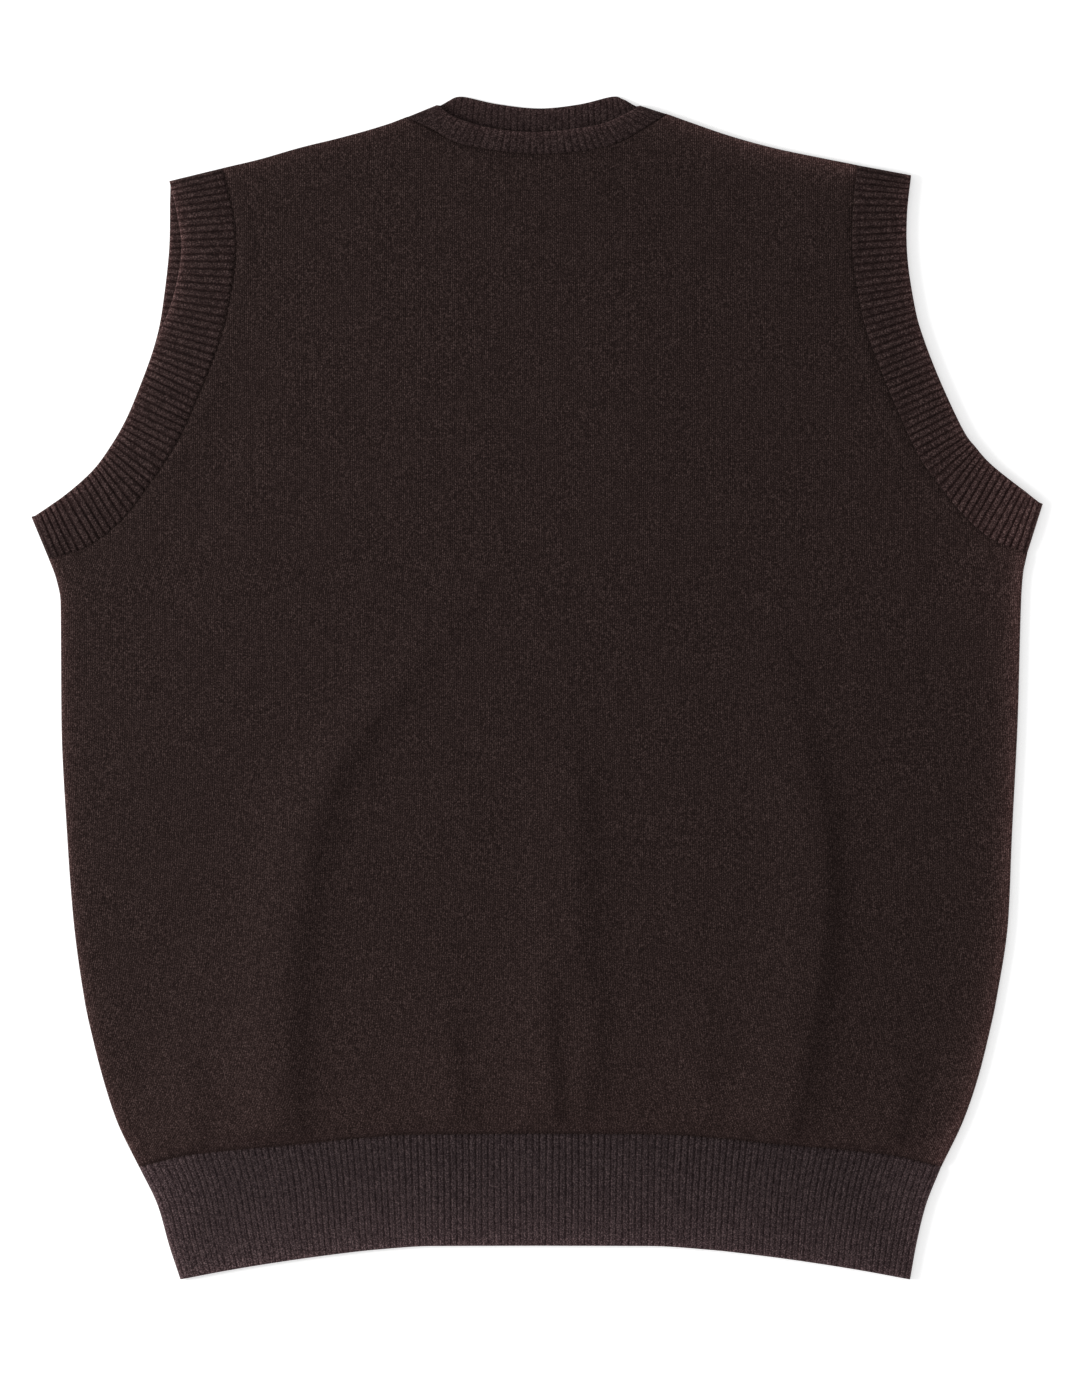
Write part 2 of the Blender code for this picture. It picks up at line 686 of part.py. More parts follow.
def finish(obj, colour, collection):
    """Give a piece its own material and put it in the garment's collection."""
    obj.data.materials.append(knit_material(obj.name + "_knit", colour))
    collection.objects.link(obj)
    return obj


def centre_on_origin(pieces):
    """Bring the middle of the garment's plan over the origin. It already rests at height 0."""
    corners = [v.co for piece in pieces for v in piece.data.vertices]
    middle_x = (min(c.x for c in corners) + max(c.x for c in corners)) / 2
    middle_y = (min(c.y for c in corners) + max(c.y for c in corners)) / 2
    for piece in pieces:
        for vertex in piece.data.vertices:
            vertex.co.x -= middle_x
            vertex.co.y -= middle_y


def build_vest():
    for old in list(bpy.data.objects):
        bpy.data.objects.remove(old)
    collection = bpy.data.collections.new("knitted_sweater_vest")
    bpy.context.scene.collection.children.link(collection)
    front_seam = panel_hem_seam(panel_grid("front", FRONT_SPLITS))
    back_seam = panel_hem_seam(panel_grid("back", BACK_SPLITS))
    pieces = [
        finish(body_panel("back_panel", "back", BACK_SPLITS), CLOTH_BROWN, collection),
        finish(body_panel("front_panel", "front", FRONT_SPLITS), CLOTH_BROWN, collection),
        finish(hem_rib("back_hem_rib", "back", back_seam), RIB_BROWN, collection),
        finish(hem_rib("front_hem_rib", "front", front_seam), RIB_BROWN, collection),
        finish(armband("left"), RIB_BROWN, collection),
        finish(armband("right"), RIB_BROWN, collection),
        finish(neckband(), RIB_BROWN, collection),
    ]
    centre_on_origin(pieces)


build_vest()
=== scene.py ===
import math

import bpy
import numpy as np
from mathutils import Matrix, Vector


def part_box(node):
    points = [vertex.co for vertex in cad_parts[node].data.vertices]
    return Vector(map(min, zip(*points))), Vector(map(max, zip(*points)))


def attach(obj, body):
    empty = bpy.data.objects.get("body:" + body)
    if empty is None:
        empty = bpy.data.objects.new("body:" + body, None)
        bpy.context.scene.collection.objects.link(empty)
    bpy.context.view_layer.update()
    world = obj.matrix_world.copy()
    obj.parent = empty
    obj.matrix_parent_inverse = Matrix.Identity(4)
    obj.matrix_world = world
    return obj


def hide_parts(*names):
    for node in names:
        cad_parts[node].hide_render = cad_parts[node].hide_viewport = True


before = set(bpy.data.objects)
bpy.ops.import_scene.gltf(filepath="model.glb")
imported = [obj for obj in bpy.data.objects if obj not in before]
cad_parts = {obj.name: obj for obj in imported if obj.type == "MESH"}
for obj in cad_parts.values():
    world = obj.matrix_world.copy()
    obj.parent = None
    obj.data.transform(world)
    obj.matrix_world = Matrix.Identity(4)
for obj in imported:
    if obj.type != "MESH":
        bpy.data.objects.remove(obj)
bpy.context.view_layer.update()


# ----------------------------------------------------------------------------------------------
# Back panel. The back of the body is plain knit in a dark brown melange wool, about 2 mm thick.
# It lies flat on the surface, and it is linked to the front at the sides and the shoulders, where
# the cloth turns up to a seam at half the vest's height.
# ----------------------------------------------------------------------------------------------
MM = 0.001
JERSEY_WALL = 2.0 * MM
LAYER_GAP = 0.6 * MM
RIM_WALL = 0.5 * MM
EDGE_ROUND = 5.0 * MM
MID_HEIGHT = JERSEY_WALL + LAYER_GAP / 2

WALE = 2.15 * MM
COURSE = 1.75 * MM
CHEST = 557.0 * MM
STITCH_RELIEF = 0.35 * MM
# Painted light: every piece is painted paler towards its edges, a glow that stands for light caught
# in the fuzz at the rim, with a little real wear.
EDGE_GLOW_AND_FRAY = 0.40
EDGE_GLOW_WIDTH = 2.4 * MM

# Half widths run out from the centre line and heights run up from the hem's lower corners, in
# millimetres.
SIDE_SEAM = (
    # height, left half width, right half width
    (66.0, 232.0, 233.0),
    (93.0, 245.0, 246.0),
    (116.0, 252.5, 254.0),
    (139.0, 258.5, 260.0),
    (162.0, 263.5, 265.0),
    (209.0, 270.0, 272.0),
    (255.0, 273.5, 274.0),
    (325.0, 277.0, 277.5),
    (394.0, 277.5, 279.5),
    (407.0, 280.0, 280.5),
    (419.0, 284.5, 283.0),
)
ARMHOLE = (
    # left seam (half width, height), left free edge, how far the band's back half stands out,
    # right seam (half width, height), right free edge
    (284.5, 419.0, 294.5, 443.0, 0.0, 283.0, 422.0, 292.0, 450.5),
    (262.5, 425.7, 277.5, 453.6, 0.0, 262.0, 430.5, 278.0, 460.5),
    (242.2, 441.4, 260.0, 468.6, 0.0, 245.5, 445.0, 262.0, 473.3),
    (225.3, 463.4, 249.0, 483.0, 0.0, 232.5, 461.0, 253.2, 483.1),
    (210.3, 486.6, 239.0, 500.5, 0.0, 220.0, 479.0, 245.6, 493.6),
    (199.2, 510.4, 229.0, 525.0, 0.0, 205.6, 510.4, 232.3, 522.0),
    (187.6, 539.4, 220.5, 548.3, 1.0, 194.5, 538.2, 222.0, 548.7),
    (180.7, 564.3, 212.6, 569.0, 5.2, 188.0, 558.5, 217.5, 566.0),
    (176.2, 596.8, 207.4, 596.2, 7.4, 182.6, 590.0, 213.5, 592.8),
    (178.2, 621.0, 209.8, 617.7, 4.4, 182.0, 617.0, 213.2, 617.7),
    (184.0, 645.0, 214.5, 637.6, 0.0, 184.7, 646.8, 215.6, 641.0),
)
SHOULDER = (
    # share of the way from the neck to the armhole, left height, right height
    (0.0, 674.9, 676.7),
    (0.10, 670.8, 672.7),
    (0.35, 663.0, 663.2),
    (0.58, 656.9, 656.3),
    (0.80, 650.1, 651.2),
    (1.0, 645.0, 646.8),
)
NECK = (
    # front seam (across, height), front free edge, back seam, back free edge
    (-76.5, 674.9, -59.5, 681.4, -76.5, 674.9, -59.5, 681.7),
    (-61.8, 668.0, -51.3, 675.9, -62.0, 672.3, -53.1, 684.0),
    (-47.9, 660.3, -41.5, 671.9, -48.5, 669.5, -45.0, 686.6),
    (-26.4, 656.0, -23.5, 667.6, -25.5, 666.8, -24.7, 682.4),
    (-2.0, 653.7, -1.5, 666.1, -1.0, 665.4, -0.3, 679.8),
    (22.9, 655.1, 20.0, 667.9, 23.0, 666.6, 22.9, 682.1),
    (43.2, 659.2, 36.3, 670.8, 44.0, 669.6, 42.2, 686.6),
    (59.5, 667.6, 47.3, 675.3, 58.5, 673.0, 49.0, 685.0),
    (73.5, 676.7, 58.5, 681.2, 73.5, 676.7, 58.5, 681.4),
)
HEM_SIDE = (
    # share of the rib's height, left half width, right half width
    (0.0, 208.0, 215.0),
    (0.30, 214.5, 218.5),
    (0.65, 221.0, 224.0),
    (1.0, 232.0, 233.0),
)
HEM_EDGE = (
    # share of the half width, lower edge height, seam height
    (0.0, 20.4, 85.3),
    (0.30, 20.2, 84.8),
    (0.45, 18.2, 82.6),
    (0.60, 14.6, 79.0),
    (0.76, 9.8, 75.8),
    (0.88, 5.6, 72.6),
    (1.0, 0.8, 66.0),
)
# The frame's origin is under the middle of the vest, and the tables' is on its centre line.
SHIFT = np.array([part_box("front_panel")[0][0] + ARMHOLE[0][0] * MM,
                  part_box("back_hem_rib")[0][1] - HEM_EDGE[-1][1] * MM])


def ease(low, high, value):
    """0 below low, 1 above high and smooth between."""
    t = np.clip((value - low) / (high - low), 0.0, 1.0)
    return t * t * (3.0 - 2.0 * t)


def read_by_key(table, column, at):
    """One column of a table at the keys given, along a smooth curve that never overshoots."""
    keys = np.array([row[0] for row in table])
    values = np.array([row[column] for row in table])
    at = np.asarray(at, float)
    slope = np.diff(values) / np.diff(keys)
    both = slope[:-1] * slope[1:]
    total = np.where(both > 0.0, slope[:-1] + slope[1:], 1.0)
    middle = np.where(both > 0.0, 2.0 * both / total, 0.0)
    tangent = np.concatenate((slope[:1], middle, slope[-1:]))
    i = np.clip(np.searchsorted(keys, at, side="right") - 1, 0, len(keys) - 2)
    width = keys[i + 1] - keys[i]
    t = np.clip((at - keys[i]) / width, 0.0, 1.0)
    rise = values[i + 1] - values[i]
    start = tangent[i] * width
    end = tangent[i + 1] * width
    return values[i] + t * (start + t * (3 * rise - 2 * start - end + t * (start + end - 2 * rise)))


def read_by_row(table, column, share):
    """One column of a table as a smooth curve through its rows, share 0 to 1."""
    values = np.array([row[column] for row in table])
    last = len(values) - 1
    place = np.clip(np.asarray(share, float), 0.0, 1.0) * last
    i = np.minimum(place.astype(int), last - 1)
    t = place - i
    before, here, ahead, beyond = (values[np.clip(i + k, 0, last)] for k in (-1, 0, 1, 2))
    start = (ahead - before) / 2
    end = (beyond - here) / 2
    rise = ahead - here
    return here + t * (start + t * (3 * rise - 2 * start - end + t * (start + end - 2 * rise)))


def plan_line(table, column, share, sign=1.0):
    """Points in plan from two neighbouring columns of a table, in metres."""
    across = sign * read_by_row(table, column, share)
    return np.stack((across, read_by_row(table, column + 1, share)), -1) * MM


def side_line(side, share):
    """The side seam from the hem rib (0) up to the underarm (1)."""
    column, sign, seam = (1, -1.0, 1) if side == "left" else (2, 1.0, 6)
    bottom = SIDE_SEAM[0][0]
    height = bottom + share * (ARMHOLE[0][seam] - bottom)
    along = bottom + share * (SIDE_SEAM[-1][0] - bottom)
    return np.stack((sign * read_by_key(SIDE_SEAM, column, along), height), -1) * MM


def armhole_line(side, share):
    """The armhole seam from the underarm (0) up to the shoulder (1)."""
    return plan_line(ARMHOLE, 0, share, -1.0) if side == "left" else plan_line(ARMHOLE, 5, share)


def shoulder_line(side, share):
    """The shoulder seam from the neck (0) out to the armhole (1)."""
    if side == "left":
        column, neck, tip = 1, NECK[0][0], -ARMHOLE[-1][0]
    else:
        column, neck, tip = 2, NECK[-1][0], ARMHOLE[-1][5]
    return np.stack((neck + share * (tip - neck), read_by_key(SHOULDER, column, share)), -1) * MM


def neck_seam(layer, share):
    """The seam of the front's or the back's neckline, from the left shoulder to the right one."""
    return plan_line(NECK, 0 if layer == "front" else 4, share)


def hem_height(across, column):
    """Height of the hem rib's lower edge (column 1) or of its seam to the body (column 2)."""
    row = 0 if column == 1 else -1
    half = np.where(across < 0.0, HEM_SIDE[row][1], HEM_SIDE[row][2]) * MM
    return read_by_key(HEM_EDGE, column, np.minimum(1.0, np.abs(across) / half)) * MM


def distance_to(line, points):
    """Shortest distance in plan from each point to an open line."""
    best = np.full(points.shape[:-1], np.inf)
    for a, b in zip(line, line[1:]):
        run = b - a
        t = np.clip(((points - a) @ run) / (run @ run), 0.0, 1.0)
        best = np.minimum(best, np.linalg.norm(points - a - t[..., None] * run, axis=-1))
    return best


def turned_down(distance):
    """How far a layer has turned towards a sewn edge: 1 at the edge and 0 away from it."""
    inward = np.clip(distance / EDGE_ROUND, 0.0, 1.0)
    return 1.0 - np.sqrt(1.0 - (1.0 - inward) ** 2)


def edge_glow_and_wear(distance, spread=9.0 * MM, share=0.13):
    """How much paler the wool is painted at a distance from an edge: mostly painted light, a pale
    glow of light caught in the fuzz at the rim, with a little real wear. Most at the very edge, a
    little beyond.
    """
    return EDGE_GLOW_AND_FRAY * np.exp(-distance / EDGE_GLOW_WIDTH) + share * np.exp(-distance / spread)


def close_to_ends(count, fine, length):
    """Shares from 0 to 1, even in the middle, with extra ones at these distances from each end."""
    fine = np.array(fine) * MM / length
    even = np.linspace(fine[-1], 1.0 - fine[-1], count)
    return np.concatenate((fine, even[1:-1], 1.0 - fine[::-1]))


SEAM_SHARES = np.linspace(0.0, 1.0, 60)
SIDES = {side: side_line(side, SEAM_SHARES) for side in ("left", "right")}
ARMHOLES = {side: armhole_line(side, SEAM_SHARES) for side in ("left", "right")}
SHOULDERS = {side: shoulder_line(side, SEAM_SHARES) for side in ("left", "right")}
NECK_SEAMS = {layer: neck_seam(layer, SEAM_SHARES) for layer in ("front", "back")}
SIDE_LENGTH = 353.0 * MM
ARMHOLE_LENGTH = 240.0 * MM
PANEL_WIDTH = 500.0 * MM
UNDERARM_SHARE = 12 / 28
HEM_ARCH_REACH = 0.45
SHOULDER_SLOPE_START = 0.68
RIM_STEPS = (0.0, 0.25, 0.6, 1.1, 1.8, 2.6, 3.6)
BACK_SIDE_ROWS = 90
ARMHOLE_ROWS = 70
BACK_COLUMNS = 110


def body_plan(layer, rows, columns):
    """Plan of a body panel on a grid that follows the knit: rows go up from the hem (0) past the
    underarm (1) to the shoulder (2). Also gives each point's place in wales and courses."""
    rows = np.asarray(rows)[:, None]
    columns = np.asarray(columns)[None, :]
    low_part = np.minimum(rows, 1.0)[:, 0]
    high_part = np.maximum(rows - 1.0, 0.0)[:, 0]
    edges = []
    for side in ("left", "right"):
        below = side_line(side, low_part)
        above = armhole_line(side, high_part)
        edges.append(np.where(rows <= 1.0, below, above)[:, None, :])
    left, right = edges
    plan = left + (right - left) * columns[..., None]
    share = np.where(rows <= 1.0, rows * UNDERARM_SHARE,
                     UNDERARM_SHARE + (rows - 1.0) * (1.0 - UNDERARM_SHARE))
    hem_left, hem_right = SIDES["left"][0], SIDES["right"][0]
    hem_flat = hem_left + (hem_right - hem_left) * columns[..., None]
    hem_lift = hem_height(hem_flat[..., 0], 2) - hem_flat[..., 1]
    hem_lift = hem_lift * (1.0 - ease(0.0, HEM_ARCH_REACH, share))
    top_left, top_right = SHOULDERS["left"][-1], SHOULDERS["right"][-1]
    top_flat = top_left + (top_right - top_left) * columns[..., None]
    top = np.concatenate((SHOULDERS["left"][::-1], NECK_SEAMS[layer][1:-1], SHOULDERS["right"]))
    top_lift = np.interp(top_flat[..., 0], top[:, 0], top[:, 1]) - top_flat[..., 1]
    plan[..., 1] += hem_lift + top_lift * ease(SHOULDER_SLOPE_START, 1.0, share)
    underarm_left, underarm_right = ARMHOLES["left"][0][0], ARMHOLES["right"][0][0]
    across_chest = (plan[..., 0] - underarm_left) / (underarm_right - underarm_left)
    wale = (np.where(rows < 1.0, columns, across_chest) - 0.5) * CHEST
    course = plan[..., 1] - hem_lift
    return plan, np.stack((wale / WALE, course / COURSE), -1)


def panel_columns(count):
    """Column shares of a body panel, with one at each corner of the neckline."""
    left_tip, right_tip = SHOULDERS["left"][-1][0], SHOULDERS["right"][-1][0]
    shares = close_to_ends(count, RIM_STEPS, PANEL_WIDTH)
    for side in ("left", "right"):
        corner = (SHOULDERS[side][0][0] - left_tip) / (right_tip - left_tip)
        shares[np.argmin(np.abs(shares - corner))] = corner
    return shares


def knitted_piece(name, outer, inner, stitches, glow_and_wear, closed=False):
    """A cloth wall between its outer and inner faces, each a grid of points. The stitches are a
    grid of places in wales and courses, and the last map says how much paler the wool is painted
    there: mostly painted light, a glow at the edges, on the right side and towards the hem, with a
    little real fuzz and wear. A closed piece runs round a loop along its first axis."""
    along, across = outer.shape[:2]
    points = np.concatenate((outer.reshape(-1, 3), inner.reshape(-1, 3)))
    points[:, :2] += SHIFT
    count = along * across
    spans = along if closed else along - 1
    grids = np.meshgrid(np.arange(spans), np.arange(across - 1), indexing="ij")
    i, j = (grid.ravel() for grid in grids)
    ahead = (i + 1) % along
    corners = [(i, j), (i, j + 1), (ahead, j + 1), (ahead, j)]
    map_corners = [(i, j), (i, j + 1), (i + 1, j + 1), (i + 1, j)]
    face_sets = [np.stack([a * across + b for a, b in corners], 1)]
    face_sets.append(np.stack([a * across + b + count for a, b in corners[::-1]], 1))
    map_sets = [np.stack([stitches[a, b] for a, b in map_corners], 1)]
    map_sets.append(np.stack([stitches[a, b] for a, b in map_corners[::-1]], 1))

    def add_edge(here, there, here_map, there_map):
        face_sets.append(np.stack((here, there, there + count, here + count), 1))
        map_sets.append(np.stack((here_map, there_map, there_map, here_map), 1))

    run = np.arange(spans)
    after = (run + 1) % along
    add_edge(run * across, after * across, stitches[run, 0], stitches[run + 1, 0])
    add_edge(after * across + across - 1, run * across + across - 1,
             stitches[run + 1, -1], stitches[run, -1])
    if not closed:
        run = np.arange(across - 1)
        add_edge(run + 1, run, stitches[0, run + 1], stitches[0, run])
        last = (along - 1) * across
        add_edge(last + run, last + run + 1, stitches[-1, run], stitches[-1, run + 1])
    faces = np.concatenate(face_sets)
    places = np.concatenate(map_sets)
    a, b, c, d = (points[faces[:, k]] for k in range(4))
    volume = np.sum(a * (np.cross(b, c) + np.cross(c, d)))
    if volume < 0.0:
        faces = faces[:, ::-1]
        places = places[:, ::-1]
    mesh = bpy.data.meshes.new(name)
    mesh.from_pydata(points.tolist(), [], faces.tolist())
    mesh.shade_smooth()
    stitch_map = mesh.uv_layers.new(name="stitches")
    stitch_map.uv.foreach_set("vector", places.astype(np.float32).ravel())
    # The map of painted light and wear goes to the material, which paints the wool paler by it.
    lightening = np.broadcast_to(glow_and_wear, (along, across)).ravel()
    lightening_layer = mesh.attributes.new("glow_and_wear", "FLOAT", "POINT")
    lightening_layer.data.foreach_set("value", np.tile(lightening, 2))
    piece = bpy.data.objects.new(name, mesh)
    bpy.context.scene.collection.objects.link(piece)
    return piece


class Shading:
    """Short names for wiring a material's nodes."""

    def __init__(self, name):
        self.material = bpy.data.materials.new(name)
        self.material.use_nodes = True
        self.nodes = self.material.node_tree.nodes
        self.links = self.material.node_tree.links
        self.shader = self.nodes["Principled BSDF"]

    def node(self, kind, **inputs):
        made = self.nodes.new(kind)
        for key, value in inputs.items():
            self.put(value, made.inputs[key.replace("_", " ")])
        return made

    def put(self, value, socket):
        if isinstance(value, bpy.types.NodeSocket):
            self.links.new(value, socket)
        else:
            socket.default_value = value

    def calc(self, operation, *values):
        made = self.nodes.new("ShaderNodeMath")
        made.operation = operation
        for socket, value in zip(made.inputs, values):
            self.put(value, socket)
        return made.outputs[0]

    def blend(self, amount, first, second, how="MIX"):
        made = self.nodes.new("ShaderNodeMix")
        made.data_type = "RGBA"
        made.blend_type = how
        sockets = (made.inputs[0], made.inputs[6], made.inputs[7])
        for socket, value in zip(sockets, (amount, first, second)):
            self.put(value, socket)
        return made.outputs[2]

    def noise(self, place, scale, detail=2.0, roughness=0.5):
        return self.node("ShaderNodeTexNoise", Vector=place, Scale=scale, Detail=detail,
                         Roughness=roughness).outputs["Fac"]

    def dry_wool(self, hairiness, hairs):
        """A wool's dry surface, a little rougher where its hairs stand up."""
        rough = self.calc("ADD", hairiness, self.calc("MULTIPLY", hairs, 0.12))
        self.put(rough, self.shader.inputs["Roughness"])
        self.shader.inputs["Specular IOR Level"].default_value = WOOL_GLOSS
        self.shader.inputs["Sheen Weight"].default_value = WOOL_SHEEN
        self.shader.inputs["Sheen Tint"].default_value = WOOL_SHEEN_TINT


WOOL_GLOSS = 0.07
WOOL_SHEEN = 0.10
WOOL_SHEEN_TINT = (0.62, 0.40, 0.37, 1.0)
WOOL_SHEEN_ROUGHNESS = 0.45
# The colour that the map of painted light and wear multiplies in at its fullest: a pale glow,
# mostly painted light.
GLOW_AND_WEAR_SHADE = (3.2, 2.9, 2.95, 1.0)
WALE_WANDER = 0.30
LEG_SLANT = 0.75
LEG_VARIETY = 0.10
FIBRE_STRETCH = 2.6
FIBRE_SCALE = 2.1
FLECK_SCALE = 1400.0
HAIR_SCALE = 9.0
HAIR_RELIEF = 0.30
RELIEF_STRENGTH = 0.7
SHADE_STOPS = (0.32, 0.50, 0.72)
HAIRINESS = 0.86


def melange_wool(name, dark, mid, light, painted_groove_shade, purl=0.0, crease=0.0,
                 mottle=0.38, speckle=0.76):
    """Wool knitted from blended brown fibres: V-shaped stitches in relief, each leg and fibre a
    slightly different tone, painted shade that darkens the colour where the yarn sinks between
    legs, courses and ribs, and a dry, hairy surface. purl is the share of a rib's width that sinks
    between ribs, in painted shade, crease is how far a rib's two legs run together, and mottle and
    speckle are the strengths of the coarser and finer patches of tone."""
    wool = Shading(name)
    place = wool.node("ShaderNodeUVMap")
    place.uv_map = "stitches"
    parts = wool.node("ShaderNodeSeparateXYZ", Vector=place.outputs[0])
    wale, course = parts.outputs[0], parts.outputs[1]
    wander = wool.calc("SUBTRACT", wool.noise(place.outputs[0], 0.7, 1.0), 0.5)
    wale = wool.calc("ADD", wale, wool.calc("MULTIPLY", wander, 0.0 if purl else WALE_WANDER))
    off_middle = wool.calc("ABSOLUTE", wool.calc("SUBTRACT", wool.calc("FRACT", wale), 0.5))
    from_middle = wool.calc("MULTIPLY", off_middle, 2.0)
    on_leg = wool.calc("MINIMUM", wool.calc("DIVIDE", from_middle, 1.0 - purl), 1.0)
    across_leg = wool.calc("ADD", crease, wool.calc("MULTIPLY", on_leg, 1.0 - crease))
    leaning = wool.calc("SUBTRACT", course, wool.calc("MULTIPLY", across_leg, LEG_SLANT))
    in_course = wool.calc("FRACT", leaning)
    leg = wool.calc("SINE", wool.calc("MULTIPLY", across_leg, math.pi))
    bow = wool.calc("SINE", wool.calc("MULTIPLY", in_course, math.pi))
    yarn = wool.calc("MULTIPLY", leg, wool.calc("ADD", 0.5, wool.calc("MULTIPLY", bow, 0.5)))
    leg_number = wool.calc("FLOOR", wool.calc("MULTIPLY", wale, 2.0))
    leg_place = wool.node("ShaderNodeCombineXYZ", X=leg_number, Y=wool.calc("FLOOR", leaning))
    leg_shade = wool.node("ShaderNodeTexWhiteNoise", Vector=leg_place.outputs[0]).outputs["Value"]
    along_leg = wool.node("ShaderNodeCombineXYZ", X=wool.calc("MULTIPLY", wale, FIBRE_STRETCH),
                          Y=leaning)
    fibre = wool.noise(along_leg.outputs[0], FIBRE_SCALE, 2.0, 0.6)
    object_place = wool.node("ShaderNodeTexCoord").outputs["Object"]
    flecks = wool.noise(object_place, FLECK_SCALE, 1.0)
    shade = 0.5
    for source, strength in ((leg_shade, LEG_VARIETY), (fibre, mottle), (flecks, speckle)):
        patch = wool.calc("MULTIPLY", wool.calc("SUBTRACT", source, 0.5), strength)
        shade = wool.calc("ADD", shade, patch)
    ramp = wool.node("ShaderNodeValToRGB", Fac=shade)
    stops = ramp.color_ramp.elements
    stops[0].position, stops[0].color = SHADE_STOPS[0], (*dark, 1.0)
    stops[1].position, stops[1].color = SHADE_STOPS[2], (*light, 1.0)
    middle = stops.new(SHADE_STOPS[1])
    middle.color = (*mid, 1.0)
    # Painted shade: the colour darkens where the yarn sinks, between the legs, the courses and the
    # ribs.
    groove_shade = wool.blend(yarn, (*painted_groove_shade, 1.0), (1.0, 1.0, 1.0, 1.0))
    colour = wool.blend(1.0, ramp.outputs[0], groove_shade, "MULTIPLY")
    # Painted light, with a little wear: the wool is painted paler where the map says.
    glow_and_wear_node = wool.node("ShaderNodeAttribute")
    glow_and_wear_node.attribute_name = "glow_and_wear"
    colour = wool.blend(glow_and_wear_node.outputs["Fac"], colour, GLOW_AND_WEAR_SHADE, "MULTIPLY")
    hair = wool.noise(place.outputs[0], HAIR_SCALE, 2.0, 0.8)
    height = wool.calc("ADD", yarn, wool.calc("MULTIPLY", hair, HAIR_RELIEF))
    bump = wool.node("ShaderNodeBump", Height=height, Strength=RELIEF_STRENGTH,
                     Distance=STITCH_RELIEF)
    wool.put(colour, wool.shader.inputs["Base Color"])
    wool.put(bump.outputs[0], wool.shader.inputs["Normal"])
    wool.dry_wool(HAIRINESS, hair)
    wool.shader.inputs["Sheen Roughness"].default_value = WOOL_SHEEN_ROUGHNESS
    return wool.material


# The fourth colour is painted shade for the sunk lines between stitches.
BODY_WOOL = melange_wool("body_wool", dark=(0.0108, 0.0060, 0.0053), mid=(0.0230, 0.0134, 0.0122),
                         light=(0.0846, 0.0560, 0.0510), painted_groove_shade=(0.32, 0.28, 0.28))

rows_to_underarm = close_to_ends(BACK_SIDE_ROWS, (0.0, 0.5, 1.2, 2.5), SIDE_LENGTH)
rows_to_shoulder = 1.0 + close_to_ends(ARMHOLE_ROWS, RIM_STEPS, ARMHOLE_LENGTH)[1:]
back_rows = np.concatenate((rows_to_underarm, rows_to_shoulder))
back_plan, back_stitches = body_plan("back", back_rows, panel_columns(BACK_COLUMNS))
sewn_lines = [*SIDES.values(), *SHOULDERS.values()]
from_sewn = np.min([distance_to(line, back_plan) for line in sewn_lines], 0)
back_turn = turned_down(from_sewn)
back_outer = np.dstack((back_plan, back_turn * (MID_HEIGHT - RIM_WALL)))
back_inner = np.dstack((back_plan, JERSEY_WALL + back_turn * (MID_HEIGHT - JERSEY_WALL)))
back_body = knitted_piece("back_body", back_outer, back_inner, back_stitches,
                          edge_glow_and_wear(from_sewn))
back_body.data.materials.append(BODY_WOOL)
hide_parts("back_panel")
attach(back_body, "root")


# ----------------------------------------------------------------------------------------------
# Front panel. The front of the body is the same plain knit, cut lower at the neck and deeper at
# the armholes. It lies on the back, and the tight hem rib gathers it, so that it blouses above the
# rib and falls into long soft folds that lean the way that it was laid down.
# ----------------------------------------------------------------------------------------------
FRONT_INSIDE = JERSEY_WALL + LAYER_GAP
FRONT_OUTSIDE = FRONT_INSIDE + JERSEY_WALL
FOLDS = (
    # rise, gentle flank on the left, steep flank on the right, and the crest from its lower end up
    # as pairs of height and place across
    (5.4, 24.0, 14.0, ((60, -147), (149, -148), (196, -144), (239, -137), (278, -128), (317, -106),
                       (352, -78), (392, -44), (410, -20))),
    (3.6, 24.0, 12.0, ((165, 23), (243, 21), (290, 19), (337, 15))),
    (5.0, 27.0, 9.0, ((60, 141), (118, 150), (157, 157), (196, 163), (227, 165), (255, 164),
                       (309, 153), (368, 138))),
    (2.8, 20.0, 8.0, ((60, -44), (87, -46), (170, -56))),
    (3.6, 17.0, 7.0, ((60, 8), (87, 7), (192, 1))),
    (2.6, 15.0, 8.0, ((100, 26), (118, 28), (176, 37))),
    (1.6, 18.0, 8.0, ((60, 97), (102, 96), (182, 94))),
    (2.6, 20.0, 8.0, ((60, 200), (99, 208), (135, 216))),
    (1.8, 16.0, 10.0, ((60, -196), (100, -200), (150, -204))),
)
FOLD_START = 15.0
FOLD_FADE = 0.4
FOLD_TAIL = 0.25
BLOUSE_RISE = 4.6
BLOUSE_PEAK = 48.0
BLOUSE_SIDES = (150.0, 235.0)
GATHER_COUNT = 34
GATHER_SPAN = 222.0
GATHER_PEAK = 4.0
GATHER_SHIFT = 5.0
GATHER_LEAN = 0.15
GATHER_WIDTHS = (2.6, 5.0)
GATHER_LENGTHS = (9.0, 34.0)
GATHER_RISES = (0.15, 0.75)
SLACK_LENGTHS = (150.0, 110.0, 85.0, 60.0, 46.0, 34.0)
SLACK_RISE = 0.0011
# Over these distances from the hem, the sides and every seam, in millimetres, the loft sets in.
LOFT_FROM_HEM = (0.0, 12.0)
GATHERS_FROM_HEM = (0.0, 5.0)
LOFT_FROM_SIDES = (3.0, 34.0)
SLACK_FROM_SEAMS = (2.0, 22.0)

ARMHOLE_DIP = 0.7 * MM
NECK_DIP = 1.4 * MM
HEM_DIP = 1.6 * MM
SEAM_HALF_WIDTH = 1.4 * MM
SEAM_WALL = 0.3 * MM
SEAM_SWELL = 0.35 * MM
SWELL_PLACE = 6.0
SWELL_WIDTH = 3.5

